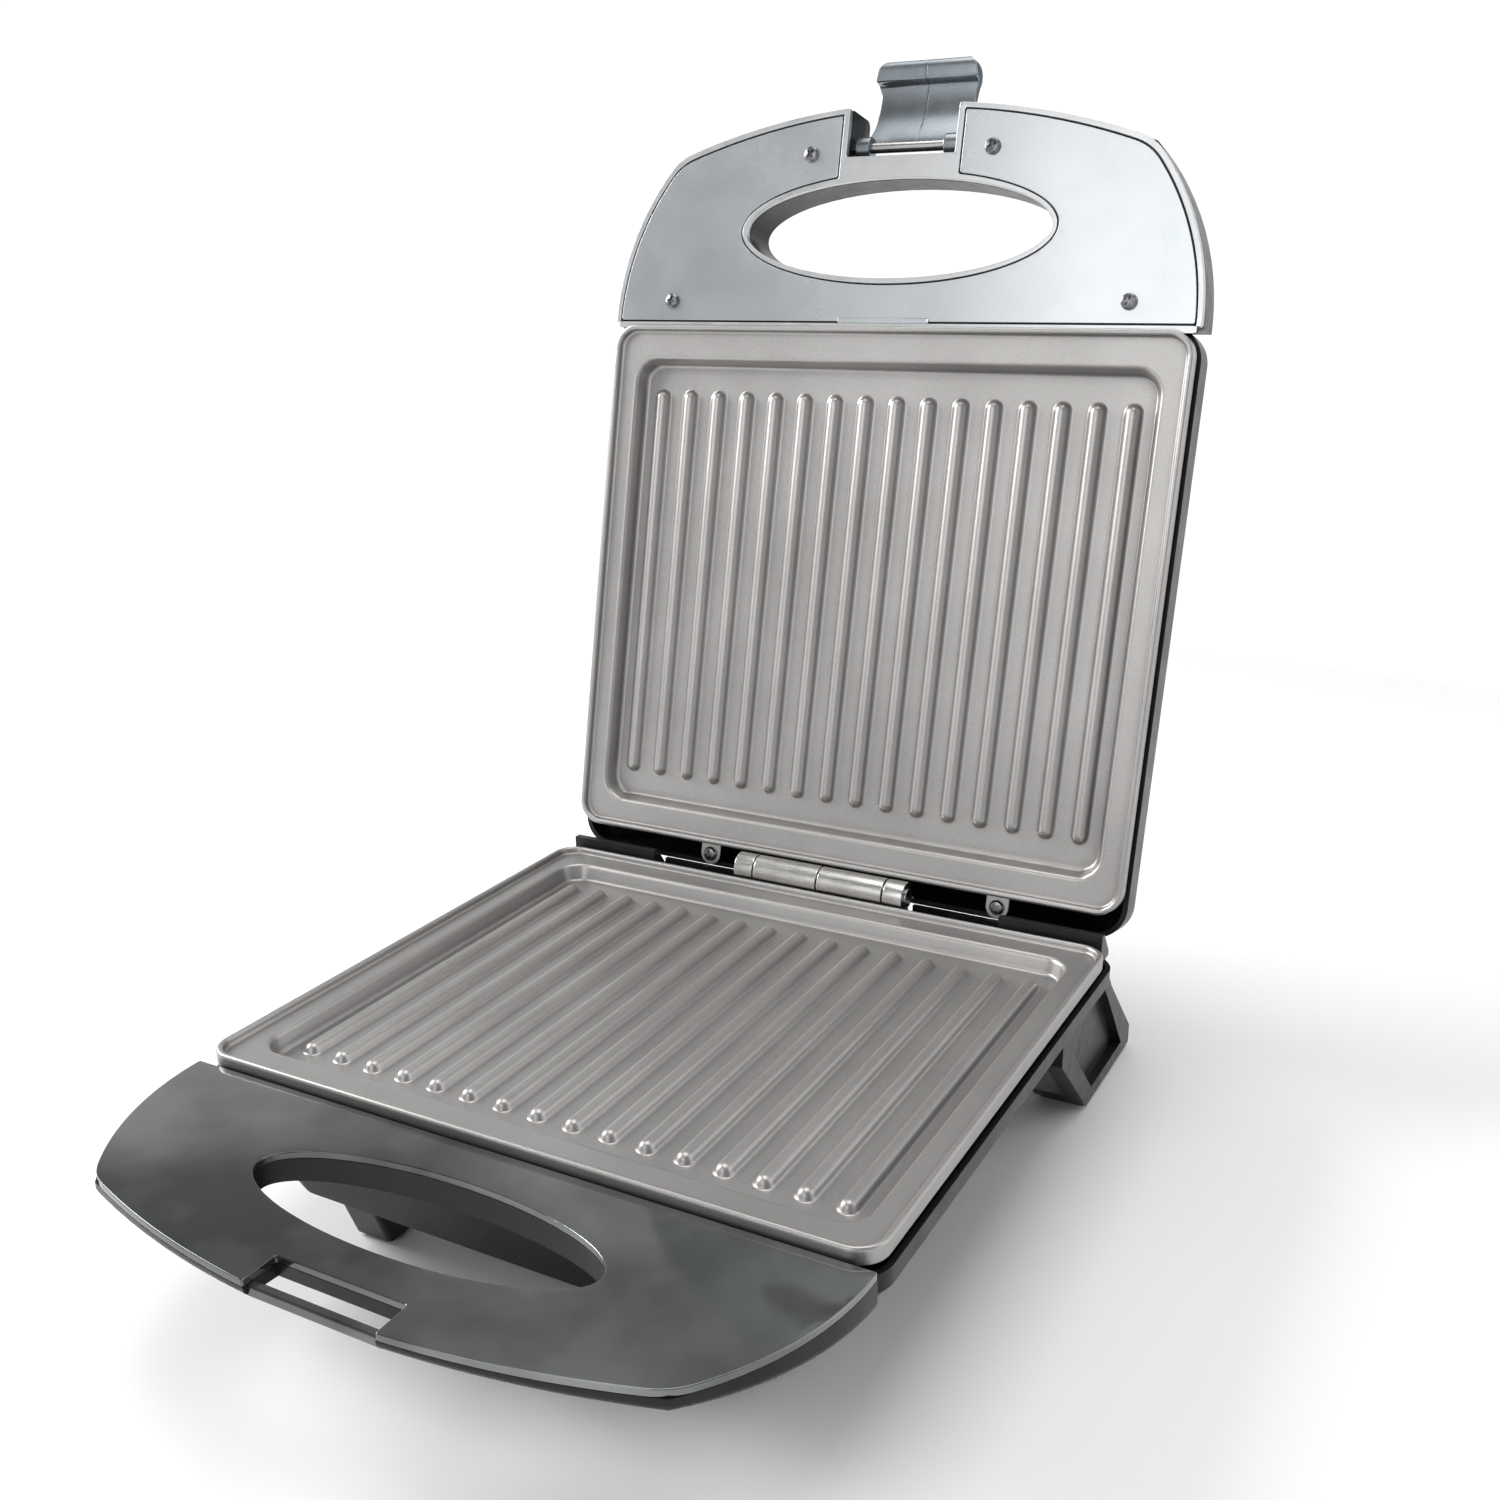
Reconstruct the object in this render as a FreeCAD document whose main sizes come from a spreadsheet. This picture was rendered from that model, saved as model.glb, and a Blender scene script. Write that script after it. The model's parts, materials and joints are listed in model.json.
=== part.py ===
import FreeCAD, Part
import math
import os

import Sketcher

# A contact grill (panini press) that stands open.  Two identical ribbed plates face each other,
# one in a base with a handle and four feet, one in a lid that turns on a steel hinge at the rear.
# A hooked clip on the lid's handle catches a bar in the base's handle.
#
# Base frame: X to the right seen from the front, -Y towards the handles, +Z up, with Z = 0 at the
# rib datum of the base plate.  Lid pieces are drawn in the same way, with Z towards the food, and
# their Placement turns them over and swings them open about the hinge axis.
# The whole press is then moved so that its origin is the centre of its footprint, on the table.

SIZES = {
    # stance and hinge
    "table_drop": 61.5, "frame_shift": 72.7, "open_angle": 102.4, "hinge_back": 31.3, "hinge_up": 12.5,
    # grill plate
    "plate_half": 122.4, "plate_front": 191.1, "plate_rear": 25.1, "plate_corner": 10.0,
    "lip_top": 10.3, "lip_width": 2.4, "land_top": 7.7, "flange_low": 4.6,
    "cavity_half": 112.1, "cavity_front": 177.6, "cavity_rear": 12.9, "cavity_corner": 10.0,
    "cavity_floor": 1.2, "cavity_draft": 2.4, "pan_wall": 2.5, "pan_low": -1.8,
    "rib_pitch": 13.5, "rib_count": 16, "rib_length": 164.9, "rib_radius": 3.0,
    # handle outline, shared by both halves
    "handle_half": 123.4, "handle_back": 192.0, "handle_corner_half": 98.4, "handle_corner_front": 257.2,
    "handle_nose": 274.5, "handle_side_radius": 97.0, "handle_hole_back": 228.2,
    "base_hole_half": 60.5, "base_hole_deep": 19.3, "lid_hole_half": 64.0, "lid_hole_deep": 18.8,
    "panel_thick": 2.4, "base_panel_top": 6.5, "base_handle_low": -6.0, "base_nose_low": 0.9,
    "lid_panel_top": 8.7, "lid_frame_low": 5.2, "lid_handle_low": -11.3, "frame_border": 1.9,
    "frame_gap": 0.5, "hole_ring": 2.0, "mark_half": 19.3, "mark_long": 2.1, "mark_high": 0.4,
    "hollow_in": 70.0, "hollow_out": 105.0, "hollow_front": 236.0, "hollow_back": 200.0,
    "hollow_floor": 2.2, "base_hollow_low": 0.0, "handle_round": 3.0,
    # notches for the clip
    "notch_half": 22.6, "lid_notch_back": 255.4, "base_notch_back": 261.0, "notch_corner": 2.5,
    "notch_open": 280.0, "bridge_half": 25.0, "bridge_front": 272.5, "bridge_back": 247.7,
    # housings
    "rim_half": 123.4, "rim_front": 193.4, "rim_rear": 35.5, "rim_corner": 13.0, "rim_top": 2.0,
    "shell_thick": 2.0, "base_rim_low": -4.0, "belly_half": 96.0, "belly_front": 183.0,
    "belly_rear": 35.5, "belly_low": -40.0, "belly_corner": 8.0,
    "lid_rim_low": -9.0, "dome_half": 101.0, "dome_front": 179.0, "dome_rear": 27.0, "dome_low": -34.0,
    "dome_corner": 16.0, "dome_round": 1.8, "boss_radius": 4.6, "boss_low": -12.0,
    # bottom cover and feet
    "cover_half": 90.0, "cover_front": 178.0, "cover_rear": 28.0, "cover_thick": 2.0,
    "hatch_half": 80.0, "hatch_front": 168.0, "hatch_rear": 18.0, "vent_half": 30.0, "vent_width": 3.0,
    "vent_pitch": 10.0, "vent_count": 8, "foot_width": 16.0, "foot_inner": 66.0, "foot_front": 178.0,
    "foot_rear": 161.0, "foot_toe": 171.0, "foot_heel": 159.0, "foot_corner": 2.0, "pad_thick": 1.5,
    "pad_inset": 2.0,
    "leg_inner": 96.0, "leg_outer": 117.0, "leg_side": 7.0, "leg_recess": 4.0, "leg_toe": 28.0,
    "leg_heel": 88.2, "shoulder_inner": 78.0, "shoulder_outer": 119.0,
    "shoulder_front": 26.6, "shoulder_top": 13.6, "apron_inner": 39.0, "apron_outer": 77.6,
    "apron_front": 35.1, "apron_rear": 37.0, "apron_top": 7.6,
    # plate tabs and screws
    "tab_half": 4.6, "tab_thick": 1.2, "tab_right": 57.0, "tab_left": 73.0, "tab_screw_back": 30.2,
    "head_radius": 3.0, "head_high": 1.8, "shank_radius": 1.4, "shank_length": 8.0, "cross_width": 0.9,
    "cross_length": 3.6, "cross_deep": 1.1,
    # heater
    "heater_radius": 3.3, "heater_half": 62.0, "heater_rear": 2.0, "heater_turn": 98.0,
    "heater_pin_radius": 1.3, "heater_pin_length": 12.0, "clamp_width": 8.0, "clamp_thick": 1.0,
    "clamp_rear": 24.0, "clamp_front": 92.0, "shield_half": 96.0, "shield_front": 168.0,
    "shield_rear": 16.0, "shield_corner": 9.0, "shield_low": -14.0, "shield_thick": 0.8, "shield_high": 8.0,
    # hinge
    "knuckle_radius": 6.2, "pin_radius": 2.5, "running_gap": 0.05, "barrel_in": 0.3, "barrel_out": 29.0,
    "collar_in": 29.6, "collar_out": 38.0, "leaf_front": 32.0, "leaf_thick": 1.5, "leaf_clear": 7.2,
    "base_leaf_low": -18.0, "base_leaf_screw": -10.0, "lid_leaf_low": -8.6, "lid_leaf_screw": -3.2,
    "pin_over": 0.8,
    # clip
    "clip_pin_front": 260.5, "clip_pin_up": 0.0, "clip_pin_radius": 2.0, "clip_half": 21.4,
    "clip_knuckle_radius": 4.3, "clip_knuckle_width": 6.0, "clip_pin_half": 27.0,
    # catch bar
    "bar_front": 272.2, "bar_deep": 3.2, "bar_high": 3.6, "bar_low": 0.3, "bar_round": 0.8,
    # small electrical pieces
    "thermostat_radius": 8.0, "thermostat_high": 9.0, "thermostat_front": 60.0, "fuse_radius": 2.2,
    "fuse_length": 14.0, "fuse_front": 84.0, "block_half": 20.0, "block_front": 12.0, "block_rear": 6.0,
    "block_high": 12.0, "block_hole": 2.2, "gland_bore": 3.7, "gland_neck": 5.6, "gland_flange": 8.0,
    "gland_inside": 5.5, "gland_lip": 2.0, "gland_across": -50.0, "gland_up": -20.0,
    "lens_radius": 4.0, "lens_high": 4.0, "lens_proud": 1.0, "lens_across": 11.0, "lens_front": 160.0,
    "lamp_radius": 3.0, "lamp_high": 9.0,
}


class Length:
    """A size in millimetres: the expression that drives it, and its present value."""

    def __init__(self, text, number):
        self.text = text
        self.number = number

    def joined(self, other, sign, number):
        return Length(f"({self.text} {sign} {as_length(other).text})", number)

    def __add__(self, other):
        return self.joined(other, "+", self.number + as_length(other).number)

    def __sub__(self, other):
        return self.joined(other, "-", self.number - as_length(other).number)

    def __mul__(self, other):
        return self.joined(other, "*", self.number * as_length(other).number)

    def __truediv__(self, other):
        return self.joined(other, "/", self.number / as_length(other).number)

    def __neg__(self):
        return Length(f"(0 - {self.text})", -self.number)

    def __radd__(self, other):
        return as_length(other) + self

    def __rsub__(self, other):
        return as_length(other) - self

    def __rmul__(self, other):
        return as_length(other) * self


def as_length(value):
    if isinstance(value, Length):
        return value
    return Length(f"({value})", float(value))


document = FreeCAD.newDocument("panini_press")
sheet = document.addObject("Spreadsheet::Sheet", "Sizes")


class Sizes:
    """Every driving dimension, by its name in the sheet."""


size = Sizes()
for row, (alias, number) in enumerate(SIZES.items(), start=1):
    sheet.set(f"A{row}", alias)
    sheet.set(f"B{row}", str(number))
    sheet.setAlias(f"B{row}", alias)
    setattr(size, alias, Length(f"Sizes.{alias}", float(number)))
document.recompute()

sub_parts = []


# ---------------------------------------------------------------- placements

def base_placement():
    return FreeCAD.Placement(
        FreeCAD.Vector(0, size.frame_shift.number, size.table_drop.number), FreeCAD.Rotation())


def lid_placement():
    """Turn a lid piece over, onto the base, and swing it open about the hinge axis."""
    swing = FreeCAD.Rotation(FreeCAD.Vector(1, 0, 0), -size.open_angle.number)
    turn_over = FreeCAD.Rotation(FreeCAD.Vector(0, 1, 0), 180)
    rotation = swing.multiply(turn_over)
    axis = FreeCAD.Vector(0, size.hinge_back.number, size.hinge_up.number)
    return FreeCAD.Placement(base_placement().Base + axis - rotation.multVec(axis), rotation)


BASE = base_placement()
LID = lid_placement()


def finish(item, label, placement):
    """Name a finished sub-part, put it in its place and list it for export."""
    item.Label = label
    item.Placement = placement
    sub_parts.append(item)
    return item


# ---------------------------------------------------------------- sketches

def bind(item, path, value):
    item.setExpression(path, as_length(value).text)


def new_body(name):
    return document.addObject("PartDesign::Body", name)


def new_sketch(body, name, plane="XY_Plane", level=0.0, across=0.0):
    """A sketch on one of the body's own origin planes, moved by level along its normal."""
    sketch = body.newObject("Sketcher::SketchObject", name)
    support = [item for item in body.Origin.OriginFeatures if item.Role == plane][0]
    sketch.AttachmentSupport = [(support, "")]
    sketch.MapMode = "FlatFace"
    sketch.AttachmentOffset = FreeCAD.Placement(
        FreeCAD.Vector(as_length(across).number, 0, as_length(level).number), FreeCAD.Rotation())
    bind(sketch, "AttachmentOffset.Base.x", across)
    bind(sketch, "AttachmentOffset.Base.z", level)
    return sketch


def pin_down(sketch, geometry, point, across, up):
    """Hold one point of a sketch at (across, up) from the sketch's origin."""
    for kind, value in (("DistanceX", as_length(across)), ("DistanceY", as_length(up))):
        if value.number == 0.0:
            axis = -2 if kind == "DistanceX" else -1
            sketch.addConstraint(Sketcher.Constraint("PointOnObject", geometry, point, axis))
            continue
        index = sketch.addConstraint(Sketcher.Constraint(kind, -1, 1, geometry, point, value.number))
        bind(sketch, f"Constraints[{index}]", value)


def vector(across, up):
    return FreeCAD.Vector(as_length(across).number, as_length(up).number, 0)


def in_order(first, second):
    """Two sizes, the smaller one first."""
    return sorted([as_length(first), as_length(second)], key=lambda end: end.number)


def draw_polygon(sketch, points):
    """A closed outline of straight lines, each corner held by its own two sizes."""
    count = len(points)
    first = len(sketch.Geometry)
    for here in range(count):
        start = vector(*points[here])
        end = vector(*points[(here + 1) % count])
        sketch.addGeometry(Part.LineSegment(start, end), False)
    for here in range(count):
        after = (here + 1) % count
        sketch.addConstraint(Sketcher.Constraint("Coincident", first + here, 2, first + after, 1))
    for here in range(count):
        pin_down(sketch, first + here, 1, *points[here])


def draw_rectangle(sketch, left, right, low, high):
    draw_polygon(sketch, [(left, low), (right, low), (right, high), (left, high)])


def draw_rounded_rectangle(sketch, half, low, high, corner):
    """A rectangle centred on X = 0 with four equal round corners."""
    half, low, high, corner = [as_length(value) for value in (half, low, high, corner)]
    first = len(sketch.Geometry)
    w, r = half.number, corner.number
    y0, y1 = low.number, high.number
    ends = [(-w + r, y0), (w - r, y0), (w, y0 + r), (w, y1 - r), (w - r, y1), (-w + r, y1), (-w, y1 - r),
            (-w, y0 + r)]
    for side in range(4):
        start, end = ends[2 * side], ends[2 * side + 1]
        sketch.addGeometry(Part.LineSegment(FreeCAD.Vector(*start, 0), FreeCAD.Vector(*end, 0)), False)
    centres = [(w - r, y0 + r), (w - r, y1 - r), (-w + r, y1 - r), (-w + r, y0 + r)]
    for quarter, centre in enumerate(centres):
        circle = Part.Circle(FreeCAD.Vector(*centre, 0), FreeCAD.Vector(0, 0, 1), r)
        start = math.radians(-90 + 90 * quarter)
        sketch.addGeometry(Part.ArcOfCircle(circle, start, start + math.pi / 2), False)
    for side in range(4):
        line, arc = first + side, first + 4 + side
        after = first + (side + 1) % 4
        sketch.addConstraint(Sketcher.Constraint("Tangent", line, 2, arc, 1))
        sketch.addConstraint(Sketcher.Constraint("Tangent", arc, 2, after, 1))
        kind = "Horizontal" if side % 2 == 0 else "Vertical"
        sketch.addConstraint(Sketcher.Constraint(kind, line))
    for arc in range(first + 5, first + 8):
        sketch.addConstraint(Sketcher.Constraint("Equal", first + 4, arc))
    rows = [
        (Sketcher.Constraint("Radius", first + 4, r), corner),
        (Sketcher.Constraint("DistanceY", -1, 1, first, 1, y0), low),
        (Sketcher.Constraint("DistanceX", -1, 1, first + 1, 1, w), half),
        (Sketcher.Constraint("DistanceY", -1, 1, first + 2, 1, y1), high),
        (Sketcher.Constraint("DistanceX", -1, 1, first + 3, 1, -w), -half),
    ]
    for constraint, value in rows:
        index = sketch.addConstraint(constraint)
        bind(sketch, f"Constraints[{index}]", value)


def draw_circle(sketch, across, up, radius):
    radius = as_length(radius)
    circle = Part.Circle(vector(across, up), FreeCAD.Vector(0, 0, 1), radius.number)
    index = sketch.addGeometry(circle, False)
    pin_down(sketch, index, 3, across, up)
    held = sketch.addConstraint(Sketcher.Constraint("Radius", index, radius.number))
    bind(sketch, f"Constraints[{held}]", radius)


def draw_ellipse(sketch, up, half, deep):
    """An ellipse centred on X = 0 whose long axis lies along X."""
    up, half, deep = [as_length(value) for value in (up, half, deep)]
    centre = FreeCAD.Vector(0, up.number, 0)
    shape = Part.Ellipse(centre + FreeCAD.Vector(half.number, 0, 0),
                         centre + FreeCAD.Vector(0, deep.number, 0), centre)
    index = sketch.addGeometry(shape, False)
    sketch.exposeInternalGeometry(index)
    pin_down(sketch, index, 3, 0, up)
    sketch.addConstraint(Sketcher.Constraint("Horizontal", index + 1))
    for line, value in ((index + 1, half * 2), (index + 2, deep * 2)):
        held = sketch.addConstraint(Sketcher.Constraint("Distance", line, value.number))
        bind(sketch, f"Constraints[{held}]", value)


def arc_through(start, end, radius, bulge):
    """The arc of a given radius from start to end that bulges to the side of the vector bulge."""
    chord = end - start
    middle = (start + end) * 0.5
    normal = FreeCAD.Vector(-chord.y, chord.x, 0).normalize()
    if normal.dot(bulge) < 0:
        normal = normal * -1
    rise = radius - math.sqrt(radius * radius - chord.Length * chord.Length / 4)
    return Part.ArcOfCircle(start, middle + normal * rise, end)


def draw_handle(sketch, inset=0.0, back_shift=0.0):
    """The handle: straight back, bowed sides that end in a corner, and a long bowed nose."""
    inset = as_length(inset)
    half = size.handle_half - inset
    back = -size.handle_back + back_shift
    corner_half = size.handle_corner_half - inset * 0.6
    corner = -size.handle_corner_front + inset
    nose = -size.handle_nose + inset
    side_radius = size.handle_side_radius
    rise = corner - nose
    nose_radius = (corner_half * corner_half + rise * rise) / (rise * 2)
    right_back, left_back = vector(half, back), vector(-half, back)
    right_corner, left_corner = vector(corner_half, corner), vector(-corner_half, corner)
    outward = FreeCAD.Vector(1, 0, 0)
    forward = FreeCAD.Vector(0, -1, 0)
    pieces = [
        Part.LineSegment(right_back, left_back),
        arc_through(left_back, left_corner, side_radius.number, outward * -1),
        arc_through(left_corner, right_corner, nose_radius.number, forward),
        arc_through(right_corner, right_back, side_radius.number, outward),
    ]
    first = len(sketch.Geometry)
    for piece in pieces:
        sketch.addGeometry(piece, False)
    ends = [(1, 2), (1, 2), (1, 2), (1, 2)]
    for here, piece in enumerate(pieces):
        if here == 0:
            continue
        towards = [right_back, left_back, left_corner, right_corner][here]
        if (piece.StartPoint - towards).Length > (piece.EndPoint - towards).Length:
            ends[here] = (2, 1)
    for here in range(4):
        after = (here + 1) % 4
        sketch.addConstraint(Sketcher.Constraint(
            "Coincident", first + here, ends[here][1], first + after, ends[after][0]))
    pin_down(sketch, first, 1, half, back)
    pin_down(sketch, first, 2, -half, back)
    pin_down(sketch, first + 2, ends[2][0], -corner_half, corner)
    pin_down(sketch, first + 2, ends[2][1], corner_half, corner)
    for here, radius in ((1, side_radius), (2, nose_radius), (3, side_radius)):
        held = sketch.addConstraint(Sketcher.Constraint("Radius", first + here, radius.number))
        bind(sketch, f"Constraints[{held}]", radius)


# ---------------------------------------------------------------- features

def pad(body, sketch, length, downwards=False):
    feature = body.newObject("PartDesign::Pad", "pad")
    feature.Profile = sketch
    feature.Length = as_length(length).number
    bind(feature, "Length", length)
    feature.Reversed = downwards
    body.Tip = feature
    return feature


def pocket(body, sketch, depth, upwards=False):
    """Cut a sketch's outline to a depth below its plane, or above it; the cut must take something."""
    before = solid_volume(body)
    feature = body.newObject("PartDesign::Pocket", "pocket")
    feature.Profile = sketch
    feature.Length = as_length(depth).number
    bind(feature, "Length", depth)
    feature.Reversed = upwards
    body.Tip = feature
    after = solid_volume(body)
    if not after < before - 0.1:
        raise RuntimeError(f"{sketch.Name} cuts nothing: {before} {after}")
    return feature


def solid_volume(body):
    document.recompute()
    return body.Shape.Volume


def loft(body, kind, sketch, section):
    feature = body.newObject(f"PartDesign::{kind}", "loft")
    feature.Profile = sketch
    feature.Sections = [section]
    feature.Ruled = True
    body.Tip = feature
    return feature


def revolve(body, sketch, axis="V_Axis"):
    feature = body.newObject("PartDesign::Revolution", "turned")
    feature.Profile = sketch
    feature.ReferenceAxis = (sketch, [axis])
    feature.Angle = 360
    body.Tip = feature
    return feature


def round_edges(body, radius, choose):
    """Round the edges of the body's solid that choose picks."""
    document.recompute()
    base = body.Tip
    names = [f"Edge{number}" for number, edge in enumerate(base.Shape.Edges, start=1) if choose(edge)]
    feature = body.newObject("PartDesign::Fillet", "rounded")
    feature.Base = (base, names)
    feature.Radius = as_length(radius).number
    bind(feature, "Radius", radius)
    body.Tip = feature
    return feature


def edges_at_level(level, tolerance=0.01):
    height = as_length(level).number

    def choose(edge):
        box = edge.BoundBox
        return abs(box.ZMin - height) < tolerance and abs(box.ZMax - height) < tolerance

    return choose


def edges_standing_at(points, tolerance=0.05):
    """Upright edges that pass through the given (across, up) places."""

    def choose(edge):
        box = edge.BoundBox
        if box.ZLength < 0.5 or box.XLength > tolerance or box.YLength > tolerance:
            return False
        return any(abs(box.XMin - as_length(x).number) < tolerance
                   and abs(box.YMin - as_length(y).number) < tolerance for x, y in points)

    return choose


def linear_pattern(body, original, sketch, axis, length, count):
    feature = body.newObject("PartDesign::LinearPattern", "row")
    feature.Originals = [original]
    feature.Direction = (sketch, [axis])
    feature.Length = as_length(length).number
    bind(feature, "Length", length)
    feature.Occurrences = int(as_length(count).number)
    bind(feature, "Occurrences", count)
    body.Tip = feature
    return feature


# ---------------------------------------------------------------- primitives and groups

def new_box(low, high):
    """A box between two corners, each a tuple of three sizes."""
    box = document.addObject("Part::Box", "box")
    for side, (start, end) in zip(("Length", "Width", "Height"), zip(low, high)):
        setattr(box, side, (as_length(end) - start).number)
        bind(box, side, as_length(end) - start)
    for axis, start in zip("xyz", low):
        bind(box, f"Placement.Base.{axis}", start)
    return box


def new_cylinder(radius, length, start, direction=(0, 0, 1)):
    """A cylinder of a given length whose first end is centred at start."""
    cylinder = document.addObject("Part::Cylinder", "cylinder")
    cylinder.Radius = as_length(radius).number
    bind(cylinder, "Radius", radius)
    cylinder.Height = as_length(length).number
    bind(cylinder, "Height", length)
    cylinder.Placement = FreeCAD.Placement(
        FreeCAD.Vector(0, 0, 0), FreeCAD.Rotation(FreeCAD.Vector(0, 0, 1), FreeCAD.Vector(*direction)))
    for axis, place in zip("xyz", start):
        bind(cylinder, f"Placement.Base.{axis}", place)
    return cylinder


def fused(*shapes):
    union = document.addObject("Part::MultiFuse", "union")
    union.Shapes = list(shapes)
    return union


def grouped(*shapes):
    group = document.addObject("Part::Compound", "group")
    group.Links = list(shapes)
    return group


def new_screw_master():
    """A pan-head screw that points down from the origin, with a cross recess in its head."""
    body = new_body("screw_master")
    profile = new_sketch(body, "screw_profile", "XZ_Plane")
    radius, high, shank = size.head_radius, size.head_high, size.shank_radius
    draw_polygon(profile, [
        (0.0, -size.shank_length), (shank * 0.3, -size.shank_length), (shank, -size.shank_length + 1.5),
        (shank, 0.0), (radius, 0.0), (radius, high * 0.45), (radius * 0.78, high * 0.85),
        (radius * 0.4, high), (0.0, high)])
    revolve(body, profile)
    for name, long_side, short_side in (("slot_one", size.cross_length, size.cross_width),
                                        ("slot_two", size.cross_width, size.cross_length)):
        slot = new_sketch(body, name, "XY_Plane", high)
        draw_rectangle(slot, -long_side / 2, long_side / 2, -short_side / 2, short_side / 2)
        pocket(body, slot, size.cross_deep)
    document.recompute()
    return body.Shape.copy()


UP = FreeCAD.Rotation()
DOWN = FreeCAD.Rotation(FreeCAD.Vector(1, 0, 0), 180)
REARWARD = FreeCAD.Rotation(FreeCAD.Vector(1, 0, 0), -90)
FORWARD = FreeCAD.Rotation(FreeCAD.Vector(1, 0, 0), 90)


def screws(label, placement, seats, facing=UP, turn=20.0):
    """Identical screws, one at each seat (the place under the head), heads facing one way."""
    shapes = []
    for number, seat in enumerate(seats):
        place = FreeCAD.Vector(*[as_length(value).number for value in seat])
        spin = FreeCAD.Rotation(FreeCAD.Vector(0, 0, 1), turn * (number + 1))
        shape = SCREW.copy()
        shape.Placement = FreeCAD.Placement(place, facing.multiply(spin))
        shapes.append(shape)
    item = document.addObject("Part::Feature", label)
    item.Shape = Part.makeCompound(shapes)
    return finish(item, label, placement)


SCREW = new_screw_master()


# ---------------------------------------------------------------- grill plates

def draw_half_capsule(sketch, low, high, radius):
    """Half the outline of a round-ended bar along the sketch's upright axis."""
    low, high, radius = [as_length(value) for value in (low, high, radius)]
    r, y0, y1 = radius.number, low.number, high.number
    first = len(sketch.Geometry)
    forward = FreeCAD.Vector(0, 0, 1)
    bottom = Part.Circle(FreeCAD.Vector(0, y0 + r, 0), forward, r)
    top = Part.Circle(FreeCAD.Vector(0, y1 - r, 0), forward, r)
    sketch.addGeometry(Part.LineSegment(FreeCAD.Vector(0, y1, 0), FreeCAD.Vector(0, y0, 0)), False)
    sketch.addGeometry(Part.ArcOfCircle(bottom, -math.pi / 2, 0), False)
    sketch.addGeometry(Part.LineSegment(FreeCAD.Vector(r, y0 + r, 0), FreeCAD.Vector(r, y1 - r, 0)), False)
    sketch.addGeometry(Part.ArcOfCircle(top, 0, math.pi / 2), False)
    sketch.addConstraint(Sketcher.Constraint("Coincident", first, 2, first + 1, 1))
    sketch.addConstraint(Sketcher.Constraint("Tangent", first + 1, 2, first + 2, 1))
    sketch.addConstraint(Sketcher.Constraint("Tangent", first + 2, 2, first + 3, 1))
    sketch.addConstraint(Sketcher.Constraint("Coincident", first + 3, 2, first, 1))
    sketch.addConstraint(Sketcher.Constraint("PointOnObject", first + 1, 3, -2))
    sketch.addConstraint(Sketcher.Constraint("PointOnObject", first + 3, 3, -2))
    pin_down(sketch, first, 1, 0, high)
    pin_down(sketch, first, 2, 0, low)
    held = sketch.addConstraint(Sketcher.Constraint("Radius", first + 1, r))
    bind(sketch, f"Constraints[{held}]", radius)


def plate_outline(body, name, level, inset):
    sketch = new_sketch(body, name, "XY_Plane", level)
    draw_rounded_rectangle(sketch, size.plate_half - inset, -size.plate_front + inset,
                           size.plate_rear - inset, size.plate_corner - inset)
    return sketch


def cavity_outline(body, name, level, inset):
    sketch = new_sketch(body, name, "XY_Plane", level)
    draw_rounded_rectangle(sketch, size.cavity_half - inset, -size.cavity_front + inset,
                           size.cavity_rear - inset, size.cavity_corner - inset)
    return sketch


def make_grill_plate(label, placement):
    """A cast plate: raised outer lip, flat land, sunk floor and a row of round-ended ribs."""
    body = new_body(label)
    flange = plate_outline(body, "flange_outline", size.lip_top, 0.0)
    pad(body, flange, size.lip_top - size.flange_low, downwards=True)
    pan = cavity_outline(body, "pan_outline", size.land_top, -size.pan_wall)
    pad(body, pan, size.land_top - size.pan_low, downwards=True)
    land = plate_outline(body, "land_outline", size.lip_top, size.lip_width)
    pocket(body, land, size.lip_top - size.land_top)
    mouth = cavity_outline(body, "cavity_mouth", size.land_top, 0.0)
    floor = cavity_outline(body, "cavity_floor", size.cavity_floor, size.cavity_draft)
    loft(body, "SubtractiveLoft", mouth, floor)
    half_row = size.rib_pitch * (size.rib_count - 1) / 2
    rib = new_sketch(body, "rib_profile", "XY_Plane", size.cavity_floor + 0.15, across=-half_row)
    draw_half_capsule(rib, -size.rib_length, 0.0, size.rib_radius)
    first_rib = revolve(body, rib)
    linear_pattern(body, first_rib, rib, "H_Axis", half_row * 2, size.rib_count)
    return finish(body, label, placement)


TABS = (size.tab_right, -size.tab_left)


def make_plate_tabs(label, placement):
    """Two sheet-metal tabs under the rear of the flange, each with a rounded free end."""
    top = size.flange_low - 0.1
    low = top - size.tab_thick
    shapes = []
    for across in TABS:
        strip = new_box((across - size.tab_half, size.cavity_rear + size.pan_wall + 0.2, low),
                        (across + size.tab_half, size.tab_screw_back, top))
        tip = new_cylinder(size.tab_half, size.tab_thick, (across, size.tab_screw_back, low))
        shapes.append(fused(strip, tip))
    finish(grouped(*shapes), label, placement)
    seats = [(across, size.tab_screw_back, top) for across in TABS]
    screws(label.replace("tabs", "tab_screws"), placement, seats)


# ---------------------------------------------------------------- heaters

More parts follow.
